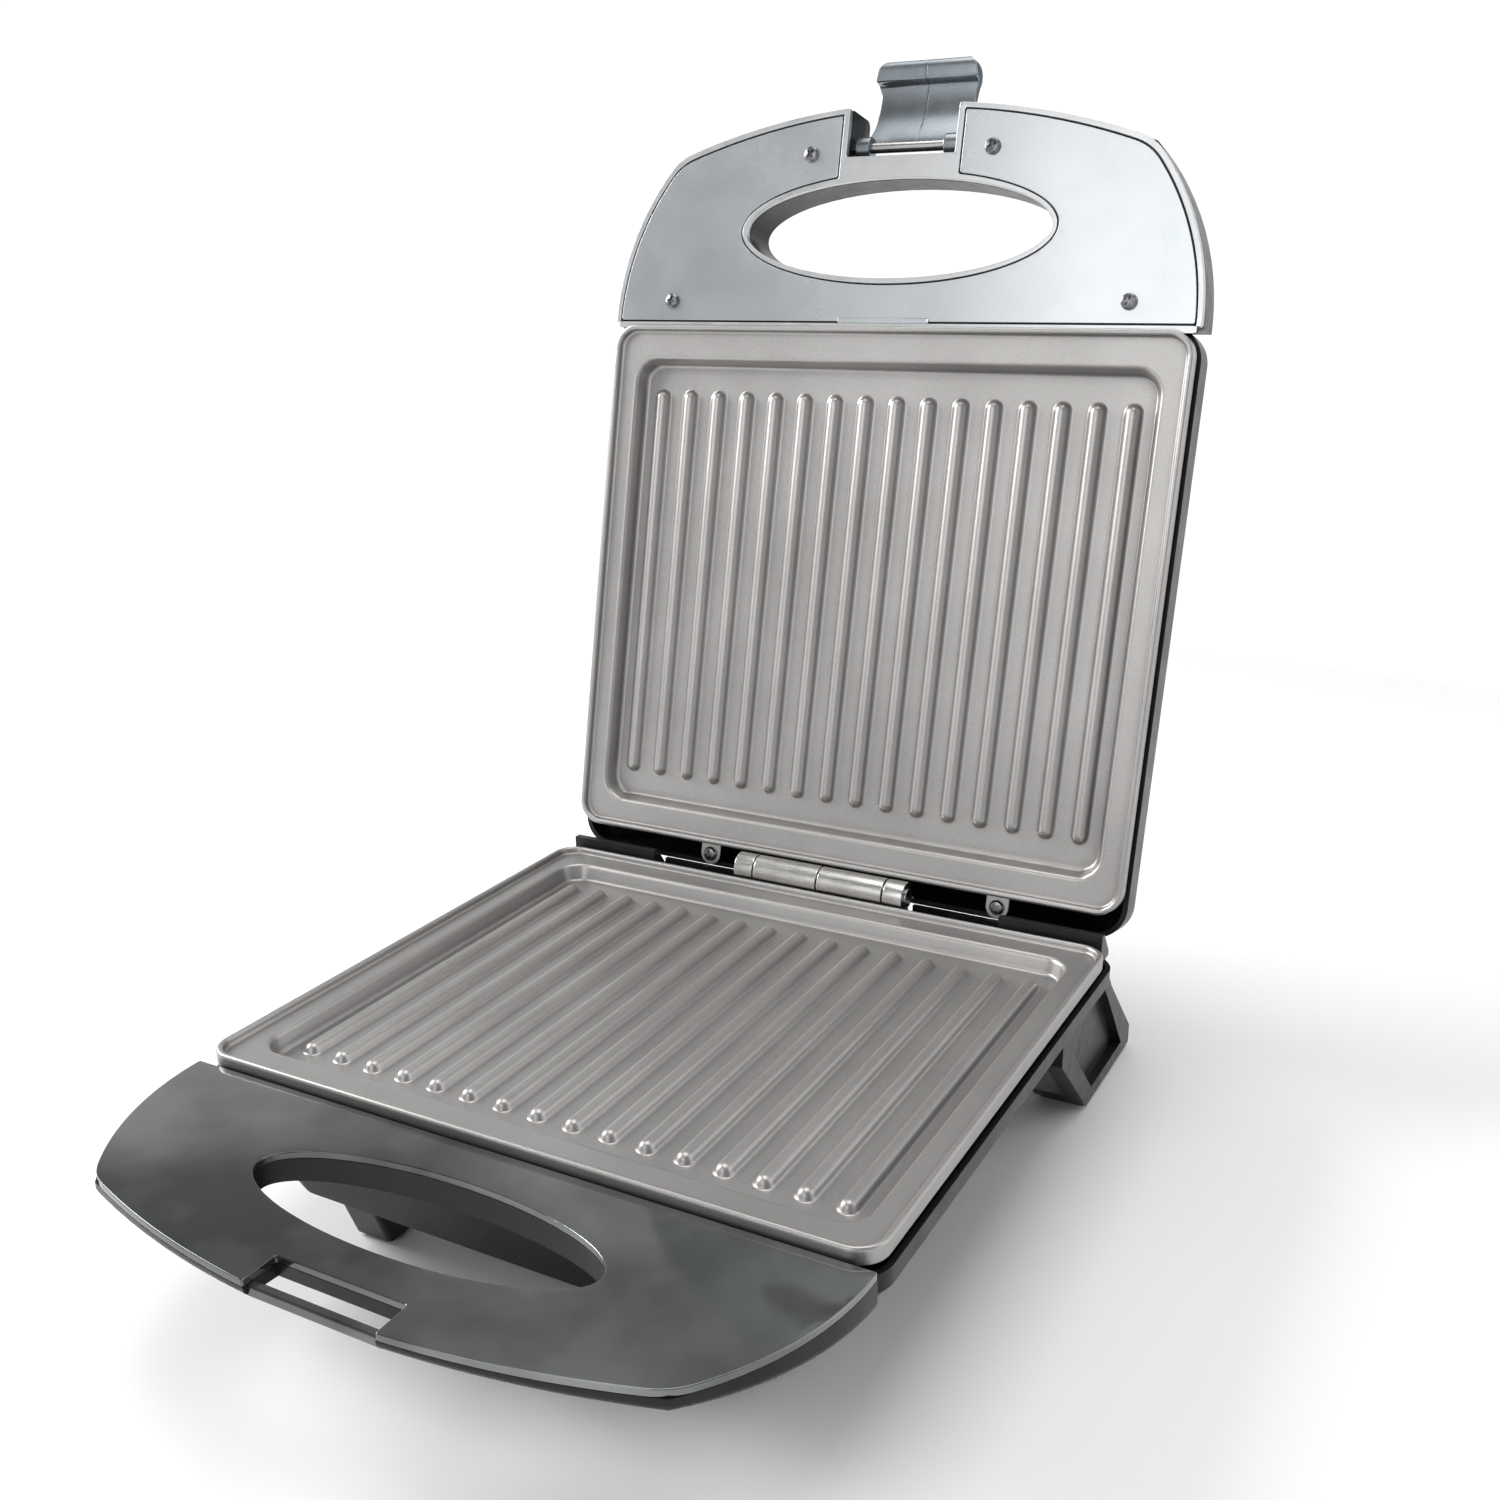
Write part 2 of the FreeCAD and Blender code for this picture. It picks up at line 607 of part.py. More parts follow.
def make_heater(side, placement):
    """A U-shaped tubular element under a plate, its straps, reflector and thermostat."""
    radius = size.heater_radius
    level = size.pan_low - radius
    half, rear, turn = size.heater_half, size.heater_rear, size.heater_turn
    pieces = []
    for sign in (-1, 1):
        across = half * sign
        pieces.append(new_cylinder(radius, turn + rear, (across, -turn, level), (0, 1, 0)))
        pieces.append(new_cylinder(size.heater_pin_radius, size.heater_pin_length, (across, rear, level),
                                   (0, 1, 0)))
    bend = document.addObject("Part::Torus", "bend")
    bend.Radius1 = half.number
    bend.Radius2 = radius.number
    bind(bend, "Radius1", half)
    bind(bend, "Radius2", radius)
    bend.Angle3 = 180
    half_turn = FreeCAD.Rotation(FreeCAD.Vector(0, 0, 1), 180)
    bend.Placement = FreeCAD.Placement(FreeCAD.Vector(0, 0, 0), half_turn)
    bind(bend, "Placement.Base.y", -turn)
    bind(bend, "Placement.Base.z", level)
    finish(fused(bend, *pieces), f"{side}_heating_element", placement)

    straps = []
    gap = 0.15
    for sign in (-1, 1):
        for along in (size.clamp_rear, size.clamp_front):
            across = half * sign
            front, back = -along - size.clamp_width / 2, -along + size.clamp_width / 2
            inner = radius + gap
            outer = inner + size.clamp_thick
            top = size.pan_low
            low = level - outer
            under = new_box((across - outer, front, low), (across + outer, back, low + size.clamp_thick))
            left = new_box((across - outer, front, low), (across - inner, back, top))
            right = new_box((across + inner, front, low), (across + outer, back, top))
            straps.append(fused(under, left, right))
    finish(grouped(*straps), f"{side}_element_clamps", placement)

    shield = new_body(f"{side}_heat_shield")
    outline = new_sketch(shield, "shield_outline", "XY_Plane", size.shield_low)
    draw_rounded_rectangle(outline, size.shield_half, -size.shield_front, size.shield_rear,
                           size.shield_corner)
    pad(shield, outline, size.shield_high)
    inside = new_sketch(shield, "shield_inside", "XY_Plane", size.shield_low + size.shield_high)
    draw_rounded_rectangle(inside, size.shield_half - size.shield_thick,
                           -size.shield_front + size.shield_thick, size.shield_rear - size.shield_thick,
                           size.shield_corner - size.shield_thick)
    pocket(shield, inside, size.shield_high - size.shield_thick)
    finish(shield, f"{side}_heat_shield", placement)

    thermostat = new_body(f"{side}_thermostat")
    can = new_sketch(thermostat, "can_outline", "XY_Plane", size.pan_low)
    draw_circle(can, 0, -size.thermostat_front, size.thermostat_radius)
    pad(thermostat, can, size.thermostat_high * 0.5, downwards=True)
    cap = new_sketch(thermostat, "cap_outline", "XY_Plane", size.pan_low - size.thermostat_high * 0.5)
    draw_circle(cap, 0, -size.thermostat_front, size.thermostat_radius * 0.7)
    pad(thermostat, cap, size.thermostat_high * 0.5, downwards=True)
    finish(thermostat, f"{side}_thermostat", placement)


# ---------------------------------------------------------------- housings

def housing_outline(body, name, level, half, front, rear, corner, inset):
    sketch = new_sketch(body, name, "XY_Plane", level)
    draw_rounded_rectangle(sketch, half - inset, -front + inset, rear - inset, corner - inset)
    return sketch


def rim_outline(body, name, level, inset=0.0):
    return housing_outline(body, name, level, size.rim_half, size.rim_front, size.rim_rear,
                           size.rim_corner, inset)


def belly_outline(body, name, level, inset=0.0):
    return housing_outline(body, name, level, size.belly_half, size.belly_front, size.belly_rear,
                           size.belly_corner, inset)


def dome_outline(body, name, level, inset=0.0):
    return housing_outline(body, name, level, size.dome_half, size.dome_front, size.dome_rear,
                           size.dome_corner, inset)


def make_dish(body, rim_low, low, far_outline):
    """The outer form of a housing: an upright rim and a tapering dish below it."""
    pad(body, rim_outline(body, "rim", size.rim_top), size.rim_top - rim_low, downwards=True)
    loft(body, "AdditiveLoft", rim_outline(body, "dish_rim", rim_low), far_outline(body, "dish_low", low))


def hollow_dish(body, rim_low, low, far_outline):
    wall = size.shell_thick
    pocket(body, rim_outline(body, "rim_inside", size.rim_top, wall), size.rim_top - rim_low)
    loft(body, "SubtractiveLoft", rim_outline(body, "dish_rim_inside", rim_low, wall),
         far_outline(body, "dish_low_inside", low + wall, wall))


def add_tab_bosses(body):
    for across in TABS:
        boss = new_sketch(body, "boss_outline", "XY_Plane", size.flange_low - 0.1 - size.tab_thick)
        draw_circle(boss, across, size.tab_screw_back, size.boss_radius)
        pad(body, boss, size.flange_low - 0.1 - size.tab_thick - size.boss_low, downwards=True)


def cut_finger_hole(body, level, half, deep, depth):
    hole = new_sketch(body, "finger_hole", "XY_Plane", level)
    draw_ellipse(hole, -size.handle_hole_back, half, deep)
    pocket(body, hole, depth)


def cut_notch(body, level, half, back, depth):
    notch = new_sketch(body, "notch_outline", "XY_Plane", level)
    draw_rectangle(notch, -half, half, -size.notch_open, -back)
    pocket(body, notch, depth)


def cut_handle_hollows(body, level, depth):
    for sign in (-1, 1):
        hollow = new_sketch(body, "hollow_outline", "XY_Plane", level)
        ends = in_order(size.hollow_in * sign, size.hollow_out * sign)
        draw_rectangle(hollow, ends[0], ends[1], -size.hollow_front, -size.hollow_back)
        pocket(body, hollow, depth)


def make_handle_block(body, top, back_low, nose_low):
    """The half of the handle that belongs to a housing, its lower edge rounded all round.

    The underside slopes from back_low at the back to nose_low at the nose."""
    handle = new_sketch(body, "handle_outline", "XY_Plane", top)
    draw_handle(handle)
    pad(body, handle, top - back_low, downwards=True)
    rise = (nose_low - back_low) / (size.handle_nose - size.handle_back)
    if rise.number > 0.0:
        wedge = new_sketch(body, "underside_wedge", "YZ_Plane", size.handle_half)
        beyond = rise * 10.0
        draw_polygon(wedge, [(-size.handle_back, back_low), (-size.handle_back, back_low - 5.0),
                             (-size.handle_nose - 10.0, back_low - 5.0),
                             (-size.handle_nose - 10.0, nose_low + beyond)])
        pocket(body, wedge, size.handle_half * 2)

    def on_underside(edge):
        return all(abs(corner.Z - underside_level(corner.Y, back_low, rise)) < 0.01
                   for corner in edge.Vertexes)

    round_edges(body, size.handle_round, on_underside)


def underside_level(along, back_low, rise):
    """Height of a handle's sloping underside at a place along it."""
    return (back_low + (-size.handle_back - along) * rise).number


def make_base_housing():
    """The lower shell: rim, belly with a service hatch, and the handle's lower half."""
    body = new_body("base_housing")
    handle_top = size.base_panel_top - size.panel_thick
    make_handle_block(body, handle_top, size.base_handle_low, size.base_nose_low)
    make_dish(body, size.base_rim_low, size.belly_low, belly_outline)
    hollow_dish(body, size.base_rim_low, size.belly_low, belly_outline)
    hatch = new_sketch(body, "hatch_outline", "XY_Plane", size.belly_low + size.shell_thick)
    draw_rounded_rectangle(hatch, size.hatch_half, -size.hatch_front, size.hatch_rear, size.belly_corner)
    pocket(body, hatch, size.shell_thick)
    add_tab_bosses(body)
    depth = handle_top - size.base_handle_low
    cut_finger_hole(body, handle_top, size.base_hole_half, size.base_hole_deep, depth)
    cut_notch(body, handle_top, size.notch_half, size.base_notch_back, depth)
    cut_handle_hollows(body, handle_top, handle_top - size.base_hollow_low)
    for sign in (-1, 1):
        apron = new_sketch(body, "apron_outline", "XY_Plane", size.apron_top)
        ends = in_order(size.apron_inner * sign, size.apron_outer * sign)
        draw_rectangle(apron, ends[0], ends[1], size.apron_front, size.apron_rear)
        pad(body, apron, size.apron_top - size.base_rim_low, downwards=True)
    gland = new_sketch(body, "gland_hole", "XZ_Plane", -size.rim_rear)
    draw_circle(gland, size.gland_across, size.gland_up, size.gland_neck + 0.1)
    pocket(body, gland, size.shell_thick + 1.0, upwards=True)
    return finish(body, "base_housing", BASE)


def make_lid_housing():
    """The upper shell: rim, domed cover with two lamp holes, and the handle's outer half."""
    body = new_body("lid_housing")
    make_handle_block(body, size.lid_frame_low, size.lid_handle_low, size.lid_handle_low)
    make_dish(body, size.lid_rim_low, size.dome_low, dome_outline)
    round_edges(body, size.dome_round, edges_at_level(size.dome_low))
    hollow_dish(body, size.lid_rim_low, size.dome_low, dome_outline)
    add_tab_bosses(body)
    depth = size.lid_frame_low - size.lid_handle_low
    cut_finger_hole(body, size.lid_frame_low, size.lid_hole_half, size.lid_hole_deep, depth)
    cut_notch(body, size.lid_frame_low, size.notch_half, size.lid_notch_back, depth)
    cut_handle_hollows(body, size.lid_frame_low, depth - size.hollow_floor)
    for sign in (-1, 1):
        lens = new_sketch(body, "lens_hole", "XY_Plane", size.dome_low)
        draw_circle(lens, size.lens_across * sign, -size.lens_front, size.lens_radius + 0.05)
        pocket(body, lens, size.shell_thick + 1.0, upwards=True)
    bore = new_sketch(body, "clip_pin_bore", "YZ_Plane", size.clip_pin_half)
    draw_circle(bore, -size.clip_pin_front, size.clip_pin_up, size.clip_pin_radius + size.running_gap)
    pocket(body, bore, size.clip_pin_half * 2)
    return finish(body, "lid_housing", LID)


def make_base_handle_panel():
    body = new_body("base_handle_panel")
    outline = new_sketch(body, "panel_outline", "XY_Plane", size.base_panel_top)
    draw_handle(outline)
    pad(body, outline, size.panel_thick, downwards=True)
    cut_finger_hole(body, size.base_panel_top, size.base_hole_half, size.base_hole_deep, size.panel_thick)
    cut_notch(body, size.base_panel_top, size.notch_half, size.base_notch_back, size.panel_thick)
    corners = [(size.notch_half * sign, -size.base_notch_back) for sign in (-1, 1)]
    round_edges(body, size.notch_corner, edges_standing_at(corners))
    return finish(body, "base_handle_panel", BASE)


def make_lid_handle_frame():
    """The bright frame of the lid's handle: outer border, ring round the hole, bridge and notch walls."""
    body = new_body("lid_handle_frame")
    top = size.lid_panel_top
    outline = new_sketch(body, "frame_outline", "XY_Plane", top)
    draw_handle(outline)
    pad(body, outline, top - size.lid_frame_low, downwards=True)
    recess = new_sketch(body, "recess_outline", "XY_Plane", top)
    draw_handle(recess, inset=size.frame_border, back_shift=2.0)
    draw_ellipse(recess, -size.handle_hole_back, size.lid_hole_half + size.hole_ring,
                 size.lid_hole_deep + size.hole_ring)
    pocket(body, recess, size.panel_thick + 0.1)
    bridge = new_sketch(body, "bridge_outline", "XY_Plane", top)
    draw_rectangle(bridge, -size.bridge_half, size.bridge_half, -size.bridge_front, -size.bridge_back)
    pad(body, bridge, size.panel_thick + 0.2, downwards=True)
    depth = top - size.lid_frame_low
    cut_finger_hole(body, top, size.lid_hole_half, size.lid_hole_deep, depth)
    cut_notch(body, top, size.notch_half, size.lid_notch_back, depth)
    return finish(body, "lid_handle_frame", LID)


def make_lid_handle_panel():
    body = new_body("lid_handle_panel")
    top = size.lid_panel_top
    gap = size.frame_gap
    outline = new_sketch(body, "panel_outline", "XY_Plane", top)
    draw_handle(outline, inset=size.frame_border + gap)
    pad(body, outline, size.panel_thick, downwards=True)
    ring = size.hole_ring + gap
    cut_finger_hole(body, top, size.lid_hole_half + ring, size.lid_hole_deep + ring, size.panel_thick)
    cut_notch(body, top, size.bridge_half + gap, size.bridge_back - gap, size.panel_thick)
    mark = new_sketch(body, "mark_outline", "XY_Plane", top)
    draw_rectangle(mark, -size.mark_half, size.mark_half, -size.handle_back - size.mark_long,
                   -size.handle_back)
    pad(body, mark, size.mark_high)
    return finish(body, "lid_handle_panel", LID)


def make_bottom_cover():
    """The hatch cover under the belly, with a row of vent slots."""
    body = new_body("base_bottom_cover")
    outline = new_sketch(body, "cover_outline", "XY_Plane", size.belly_low)
    draw_rounded_rectangle(outline, size.cover_half, -size.cover_front, size.cover_rear, size.belly_corner)
    pad(body, outline, size.cover_thick, downwards=True)
    slot = new_sketch(body, "vent_outline", "XY_Plane", size.belly_low)
    draw_rectangle(slot, -size.vent_half, size.vent_half, -size.hatch_front / 2 - size.vent_pitch * 3,
                   -size.hatch_front / 2 - size.vent_pitch * 3 + size.vent_width)
    first = pocket(body, slot, size.cover_thick)
    linear_pattern(body, first, slot, "V_Axis", size.vent_pitch * (size.vent_count - 1), size.vent_count)
    return finish(body, "base_bottom_cover", BASE)


# ---------------------------------------------------------------- feet and legs

def make_front_foot(side, sign):
    """A foot under the cover whose front leans back towards the table."""
    body = new_body(f"front_foot_{side}")
    top = size.belly_low - size.cover_thick
    sole = -size.table_drop + size.pad_thick
    ends = in_order(size.foot_inner * sign, (size.foot_inner + size.foot_width) * sign)
    outline = new_sketch(body, "foot_outline", "YZ_Plane", ends[0])
    draw_polygon(outline, [(-size.foot_front, top), (-size.foot_toe, sole), (-size.foot_heel, sole),
                           (-size.foot_rear, top)])
    pad(body, outline, ends[1] - ends[0])
    height = (top - sole).number
    round_edges(body, size.foot_corner, lambda edge: abs(edge.BoundBox.ZLength - height) < 0.01)
    return finish(body, f"front_foot_{side}", BASE)


def leg_profile(sole):
    """The side view of a rear leg, (rearward, up): shoulder, swept back, flat foot, raked front."""
    return [
        (size.shoulder_front, size.shoulder_top), (29.5, size.shoulder_top), (53.4, -18.4),
        (size.leg_heel, -52.0), (size.leg_heel, sole), (size.leg_toe, sole), (-9.0, -25.0), (-9.0, -6.0),
        (size.shoulder_front, -6.0)]


def make_rear_leg():
    """The right rear leg: a recessed side panel, a rear flange, a foot and a shoulder on the rim."""
    body = new_body("rear_leg_blank")
    sole = -size.table_drop + size.pad_thick
    side = new_sketch(body, "leg_outline", "YZ_Plane", size.leg_inner)
    draw_polygon(side, leg_profile(sole))
    pad(body, side, size.leg_outer - size.leg_inner)
    shoulder = new_sketch(body, "shoulder_outline", "YZ_Plane", size.shoulder_inner)
    draw_polygon(shoulder, [
        (size.shoulder_front, size.rim_top), (size.rim_rear + 1.5, size.rim_top), (size.rim_rear + 1.5, 4.0),
        (29.5, size.shoulder_top), (size.shoulder_front, size.shoulder_top)])
    pad(body, shoulder, size.shoulder_outer - size.shoulder_inner)
    inner = new_sketch(body, "inner_hollow", "YZ_Plane", size.leg_inner)
    draw_polygon(inner, [
        (-15.0, -1.0), (35.4, -1.0), (35.4, -6.5), (46.0, -18.4), (80.0, -54.0), (10.0, -54.0),
        (-15.0, -30.0)])
    pocket(body, inner, size.leg_outer - size.leg_inner - size.leg_side, upwards=True)
    recess = new_sketch(body, "side_recess", "YZ_Plane", size.leg_outer)
    draw_polygon(recess, [
        (30.0, -12.0), (40.0, -12.0), (50.0, -23.0), (76.0, -54.5), (34.0, -54.5), (6.0, -27.0),
        (10.0, -14.0)])
    pocket(body, recess, size.leg_recess)
    envelope = new_body("housing_envelope")
    make_dish(envelope, size.base_rim_low, size.belly_low, belly_outline)
    leg = document.addObject("Part::Cut", "rear_leg_cut")
    leg.Base = body
    leg.Tool = envelope
    return leg


def make_rear_legs():
    right = make_rear_leg()
    left = document.addObject("Part::Mirroring", "rear_leg_mirror")
    left.Source = right
    left.Normal = (1, 0, 0)
    finish(left, "rear_leg_left", BASE)
    finish(grouped(right), "rear_leg_right", BASE)


def make_foot_pads():
    low = -size.table_drop
    high = low + size.pad_thick
    inset = size.pad_inset
    shapes = []
    for sign in (-1, 1):
        for inner, outer, front, rear in (
                (size.foot_inner, size.foot_inner + size.foot_width, -size.foot_toe, -size.foot_heel),
                (size.leg_inner, size.leg_outer, size.leg_toe, size.leg_heel)):
            ends = in_order((inner + inset) * sign, (outer - inset) * sign)
            shapes.append(new_box((ends[0], as_length(front) + inset, low),
                                  (ends[1], as_length(rear) - inset, high)))
    return finish(grouped(*shapes), "foot_pads", BASE)


# ---------------------------------------------------------------- hinge

def make_hinge_leaf(label, placement, low, screw_level):
    """One leaf of the hinge: a screwed strip, one long barrel and one short collar."""
    body = new_body(label)
    axis = (size.hinge_back, size.hinge_up)
    top = size.hinge_up - size.leaf_clear
    strip = new_sketch(body, "strip_outline", "XY_Plane", top)
    rear = size.leaf_front + size.leaf_thick
    draw_rectangle(strip, -size.collar_out, size.collar_out, size.leaf_front, rear)
    pad(body, strip, top - low, downwards=True)
    for start, end in ((-size.barrel_out, -size.barrel_in), (size.collar_in, size.collar_out)):
        tongue = new_sketch(body, "tongue_outline", "XY_Plane", size.hinge_up)
        draw_rectangle(tongue, start, end, size.leaf_front, rear)
        pad(body, tongue, size.leaf_clear, downwards=True)
        knuckle = new_sketch(body, "knuckle_outline", "YZ_Plane", start)
        draw_circle(knuckle, axis[0], axis[1], size.knuckle_radius)
        pad(body, knuckle, end - start)
    bore = new_sketch(body, "pin_bore", "YZ_Plane", size.collar_out)
    draw_circle(bore, axis[0], axis[1], size.pin_radius + size.running_gap)
    pocket(body, bore, size.collar_out * 2)
    finish(body, label, placement)
    seats = [(20.0 * sign, size.rim_rear, screw_level) for sign in (-1, 1)]
    screws(label.replace("leaf", "screws"), placement, seats, facing=REARWARD)


def make_hinge_pin():
    body = new_body("hinge_pin")
    end = size.collar_out + size.pin_over
    shaft = new_sketch(body, "pin_outline", "YZ_Plane", -end)
    draw_circle(shaft, size.hinge_back, size.hinge_up, size.pin_radius)
    pad(body, shaft, end * 2)
    for start in (-end, size.collar_out + 0.1):
        head = new_sketch(body, "head_outline", "YZ_Plane", start)
        draw_circle(head, size.hinge_back, size.hinge_up, size.pin_radius * 1.5)
        pad(body, head, size.pin_over - 0.1)
    return finish(body, "hinge_pin", BASE)


# ---------------------------------------------------------------- clip and catch

def make_catch_bar():
    body = new_body("base_catch_bar")
    outline = new_sketch(body, "bar_outline", "XY_Plane", size.bar_low)
    draw_rectangle(outline, -size.notch_half, size.notch_half, -size.bar_front,
                   -size.bar_front + size.bar_deep)
    pad(body, outline, size.bar_high)
    length = (size.notch_half * 2).number
    round_edges(body, size.bar_round, lambda edge: abs(edge.BoundBox.XLength - length) < 0.01)
    return finish(body, "base_catch_bar", BASE)


def make_clip_pin():
    body = new_body("latch_pin")
    shaft = new_sketch(body, "pin_outline", "YZ_Plane", -size.clip_pin_half)
    draw_circle(shaft, -size.clip_pin_front, size.clip_pin_up, size.clip_pin_radius)
    pad(body, shaft, size.clip_pin_half * 2)
    return finish(body, "latch_pin", LID)


def make_clip():
    """The clip: two knuckles on the pin, a bowed arm and a thick lip that hooks under the bar."""
    body = new_body("latch_clip")
    arm_points = [
        (-2.0, -3.9), (-8.0, -9.0), (-17.0, -12.8), (-26.5, -13.2), (-28.4, -9.2), (-33.6, -9.0),
        (-35.6, -11.5), (-33.6, -15.2), (-24.0, -16.4), (-14.0, -15.2), (-5.0, -9.8), (0.6, -4.25)]
    arm = new_sketch(body, "arm_outline", "YZ_Plane", -size.clip_half)
    draw_polygon(arm, [(-size.clip_pin_front + along, size.clip_pin_up + up) for along, up in arm_points])
    pad(body, arm, size.clip_half * 2)
    for start in (-size.clip_half, size.clip_half - size.clip_knuckle_width):
        knuckle = new_sketch(body, "knuckle_outline", "YZ_Plane", start)
        draw_circle(knuckle, -size.clip_pin_front, size.clip_pin_up, size.clip_knuckle_radius)
        pad(body, knuckle, size.clip_knuckle_width)
    bore = new_sketch(body, "pin_bore", "YZ_Plane", size.clip_half)
    draw_circle(bore, -size.clip_pin_front, size.clip_pin_up, size.clip_pin_radius + size.running_gap)
    pocket(body, bore, size.clip_half * 2)
    return finish(body, "latch_clip", LID)


# ---------------------------------------------------------------- small electrical pieces

def make_terminal_block():
    body = new_body("terminal_block")
    outline = new_sketch(body, "block_outline", "XY_Plane", size.belly_low)
    draw_rectangle(outline, -size.block_half, size.block_half, -size.block_front, size.block_rear)
    pad(body, outline, size.block_high)
    for place in (-1, 0, 1):
        hole = new_sketch(body, "wire_hole", "XZ_Plane", size.block_front)
        draw_circle(hole, size.block_half * 0.65 * place, size.belly_low + size.block_high / 2,
                    size.block_hole)
        pocket(body, hole, size.block_front + size.block_rear)
    return finish(body, "terminal_block", BASE)


def make_cord_gland():
    """The bush in the rear wall where a supply cord enters."""
    body = new_body("cord_gland")
    neck = new_sketch(body, "neck_outline", "XZ_Plane", -size.rim_rear)
    draw_circle(neck, size.gland_across, size.gland_up, size.gland_neck)
    pad(body, neck, size.gland_inside)
    flange = new_sketch(body, "flange_outline", "XZ_Plane", -size.rim_rear)
    draw_circle(flange, size.gland_across, size.gland_up, size.gland_flange)
    pad(body, flange, size.gland_lip, downwards=True)
    bore = new_sketch(body, "gland_bore", "XZ_Plane", -size.rim_rear + size.gland_inside)
    draw_circle(bore, size.gland_across, size.gland_up, size.gland_bore)
    pocket(body, bore, size.gland_inside + size.gland_lip)
    return finish(body, "cord_gland", BASE)


def make_lamps():
    """Two indicator lenses set in the lid's cover, each with a lamp behind it."""
    lenses = []
    lamps = []
    face = size.dome_low - size.lens_proud
    for sign in (-1, 1):
        across = size.lens_across * sign
        lenses.append(new_cylinder(size.lens_radius, size.lens_high, (across, -size.lens_front, face)))
        lamps.append(new_cylinder(size.lamp_radius, size.lamp_high,
                                  (across, -size.lens_front, face + size.lens_high)))
    finish(grouped(*lenses), "lamp_lenses", LID)
    finish(grouped(*lamps), "indicator_lamps", LID)


# ---------------------------------------------------------------- the press

make_grill_plate("base_grill_plate", BASE)
make_grill_plate("lid_grill_plate", LID)
make_plate_tabs("base_plate_tabs", BASE)
make_plate_tabs("lid_plate_tabs", LID)
make_heater("base", BASE)
make_heater("lid", LID)
make_base_housing()
make_base_handle_panel()
make_bottom_cover()
make_lid_housing()
make_lid_handle_frame()
make_lid_handle_panel()
make_rear_legs()
make_front_foot("left", -1)
make_front_foot("right", 1)
make_foot_pads()
make_hinge_leaf("base_hinge_leaf", BASE, size.base_leaf_low, size.base_leaf_screw)
make_hinge_leaf("lid_hinge_leaf", LID, size.lid_leaf_low, size.lid_leaf_screw)
make_hinge_pin()
make_catch_bar()
make_clip_pin()
make_clip()
make_terminal_block()
make_cord_gland()
make_lamps()

fuse = new_cylinder(size.fuse_radius, size.fuse_length,
                    (-size.fuse_length / 2, -size.fuse_front, size.pan_low - size.fuse_radius), (1, 0, 0))
finish(grouped(fuse), "thermal_fuse", BASE)

screws("lid_handle_screws", LID,
       [(across * sign, along, size.lid_panel_top) for across, along in ((37.7, -256.8), (96.4, -200.6))
        for sign in (-1, 1)])
handle_rise = (size.base_nose_low - size.base_handle_low) / (size.handle_nose - size.handle_back)
screws("base_handle_screws", BASE,
       [(across * sign, along, underside_level(along, size.base_handle_low, handle_rise) - 0.25)
        for across, along in ((80.0, -243.0), (112.0, -200.6)) for sign in (-1, 1)], facing=DOWN)
screws("cover_screws", BASE,
       [(85.0 * sign, along, size.belly_low - size.cover_thick) for along in (-150.0, 10.0)
        for sign in (-1, 1)], facing=DOWN)
screws("leg_screws", BASE,
       [(across * sign, size.rim_rear - size.shell_thick, -6.0) for across in (101.0, 112.0)
        for sign in (-1, 1)], facing=FORWARD)

document.recompute()

for item in document.Objects:
    if "Invalid" in item.State or "Error" in item.State:
        raise RuntimeError(f"{item.Label} failed: {item.State}")

os.makedirs("parts", exist_ok=True)
for item in sub_parts:
    shape = item.Shape
    if shape.isNull() or not shape.isValid() or not shape.Solids:
        raise RuntimeError(f"{item.Label} has no valid solid")
    shape.exportStep(f"parts/{item.Label}.step")
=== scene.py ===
import json
import math

import bmesh
import bpy
import numpy as np
from mathutils import Matrix, Vector
from mathutils.geometry import delaunay_2d_cdt, tessellate_polygon


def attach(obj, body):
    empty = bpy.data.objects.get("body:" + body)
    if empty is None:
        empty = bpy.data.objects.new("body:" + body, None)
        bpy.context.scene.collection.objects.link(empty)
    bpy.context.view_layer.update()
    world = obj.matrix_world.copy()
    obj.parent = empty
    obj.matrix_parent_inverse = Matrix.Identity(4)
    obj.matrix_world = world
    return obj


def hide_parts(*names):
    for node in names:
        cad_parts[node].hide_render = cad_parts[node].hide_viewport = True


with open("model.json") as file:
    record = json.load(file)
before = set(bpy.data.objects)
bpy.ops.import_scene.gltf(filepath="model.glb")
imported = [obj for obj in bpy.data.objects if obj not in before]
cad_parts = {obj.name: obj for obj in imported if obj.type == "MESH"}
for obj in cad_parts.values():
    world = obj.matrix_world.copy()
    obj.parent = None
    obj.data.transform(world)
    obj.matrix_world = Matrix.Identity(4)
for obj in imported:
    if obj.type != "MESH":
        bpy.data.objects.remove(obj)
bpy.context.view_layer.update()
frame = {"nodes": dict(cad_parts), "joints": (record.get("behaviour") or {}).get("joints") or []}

MM = 0.001
joints = {joint["name"]: joint for joint in frame["joints"]}
HINGE = Vector(joints["lid_hinge"]["pos_m"])
OPEN_ANGLE = math.radians(joints["lid_hinge"]["range_deg"][1])
HINGE_LOCAL = Vector((0.0, 31.3, 12.5)) * MM

# Each half is drawn in millimetres in one local frame: X across, -Y towards the handle, Z towards the
# food.  BASE and LID carry that frame to each half of the open press.
BASE = Matrix.Translation(HINGE - HINGE_LOCAL) @ Matrix.Scale(MM, 4)
LID = (Matrix.Translation(HINGE) @ Matrix.Rotation(-OPEN_ANGLE, 4, "X")
       @ Matrix.Rotation(math.pi, 4, "Y") @ Matrix.Translation(-HINGE_LOCAL) @ Matrix.Scale(MM, 4))


# ------------------------------------------------------------------ materials

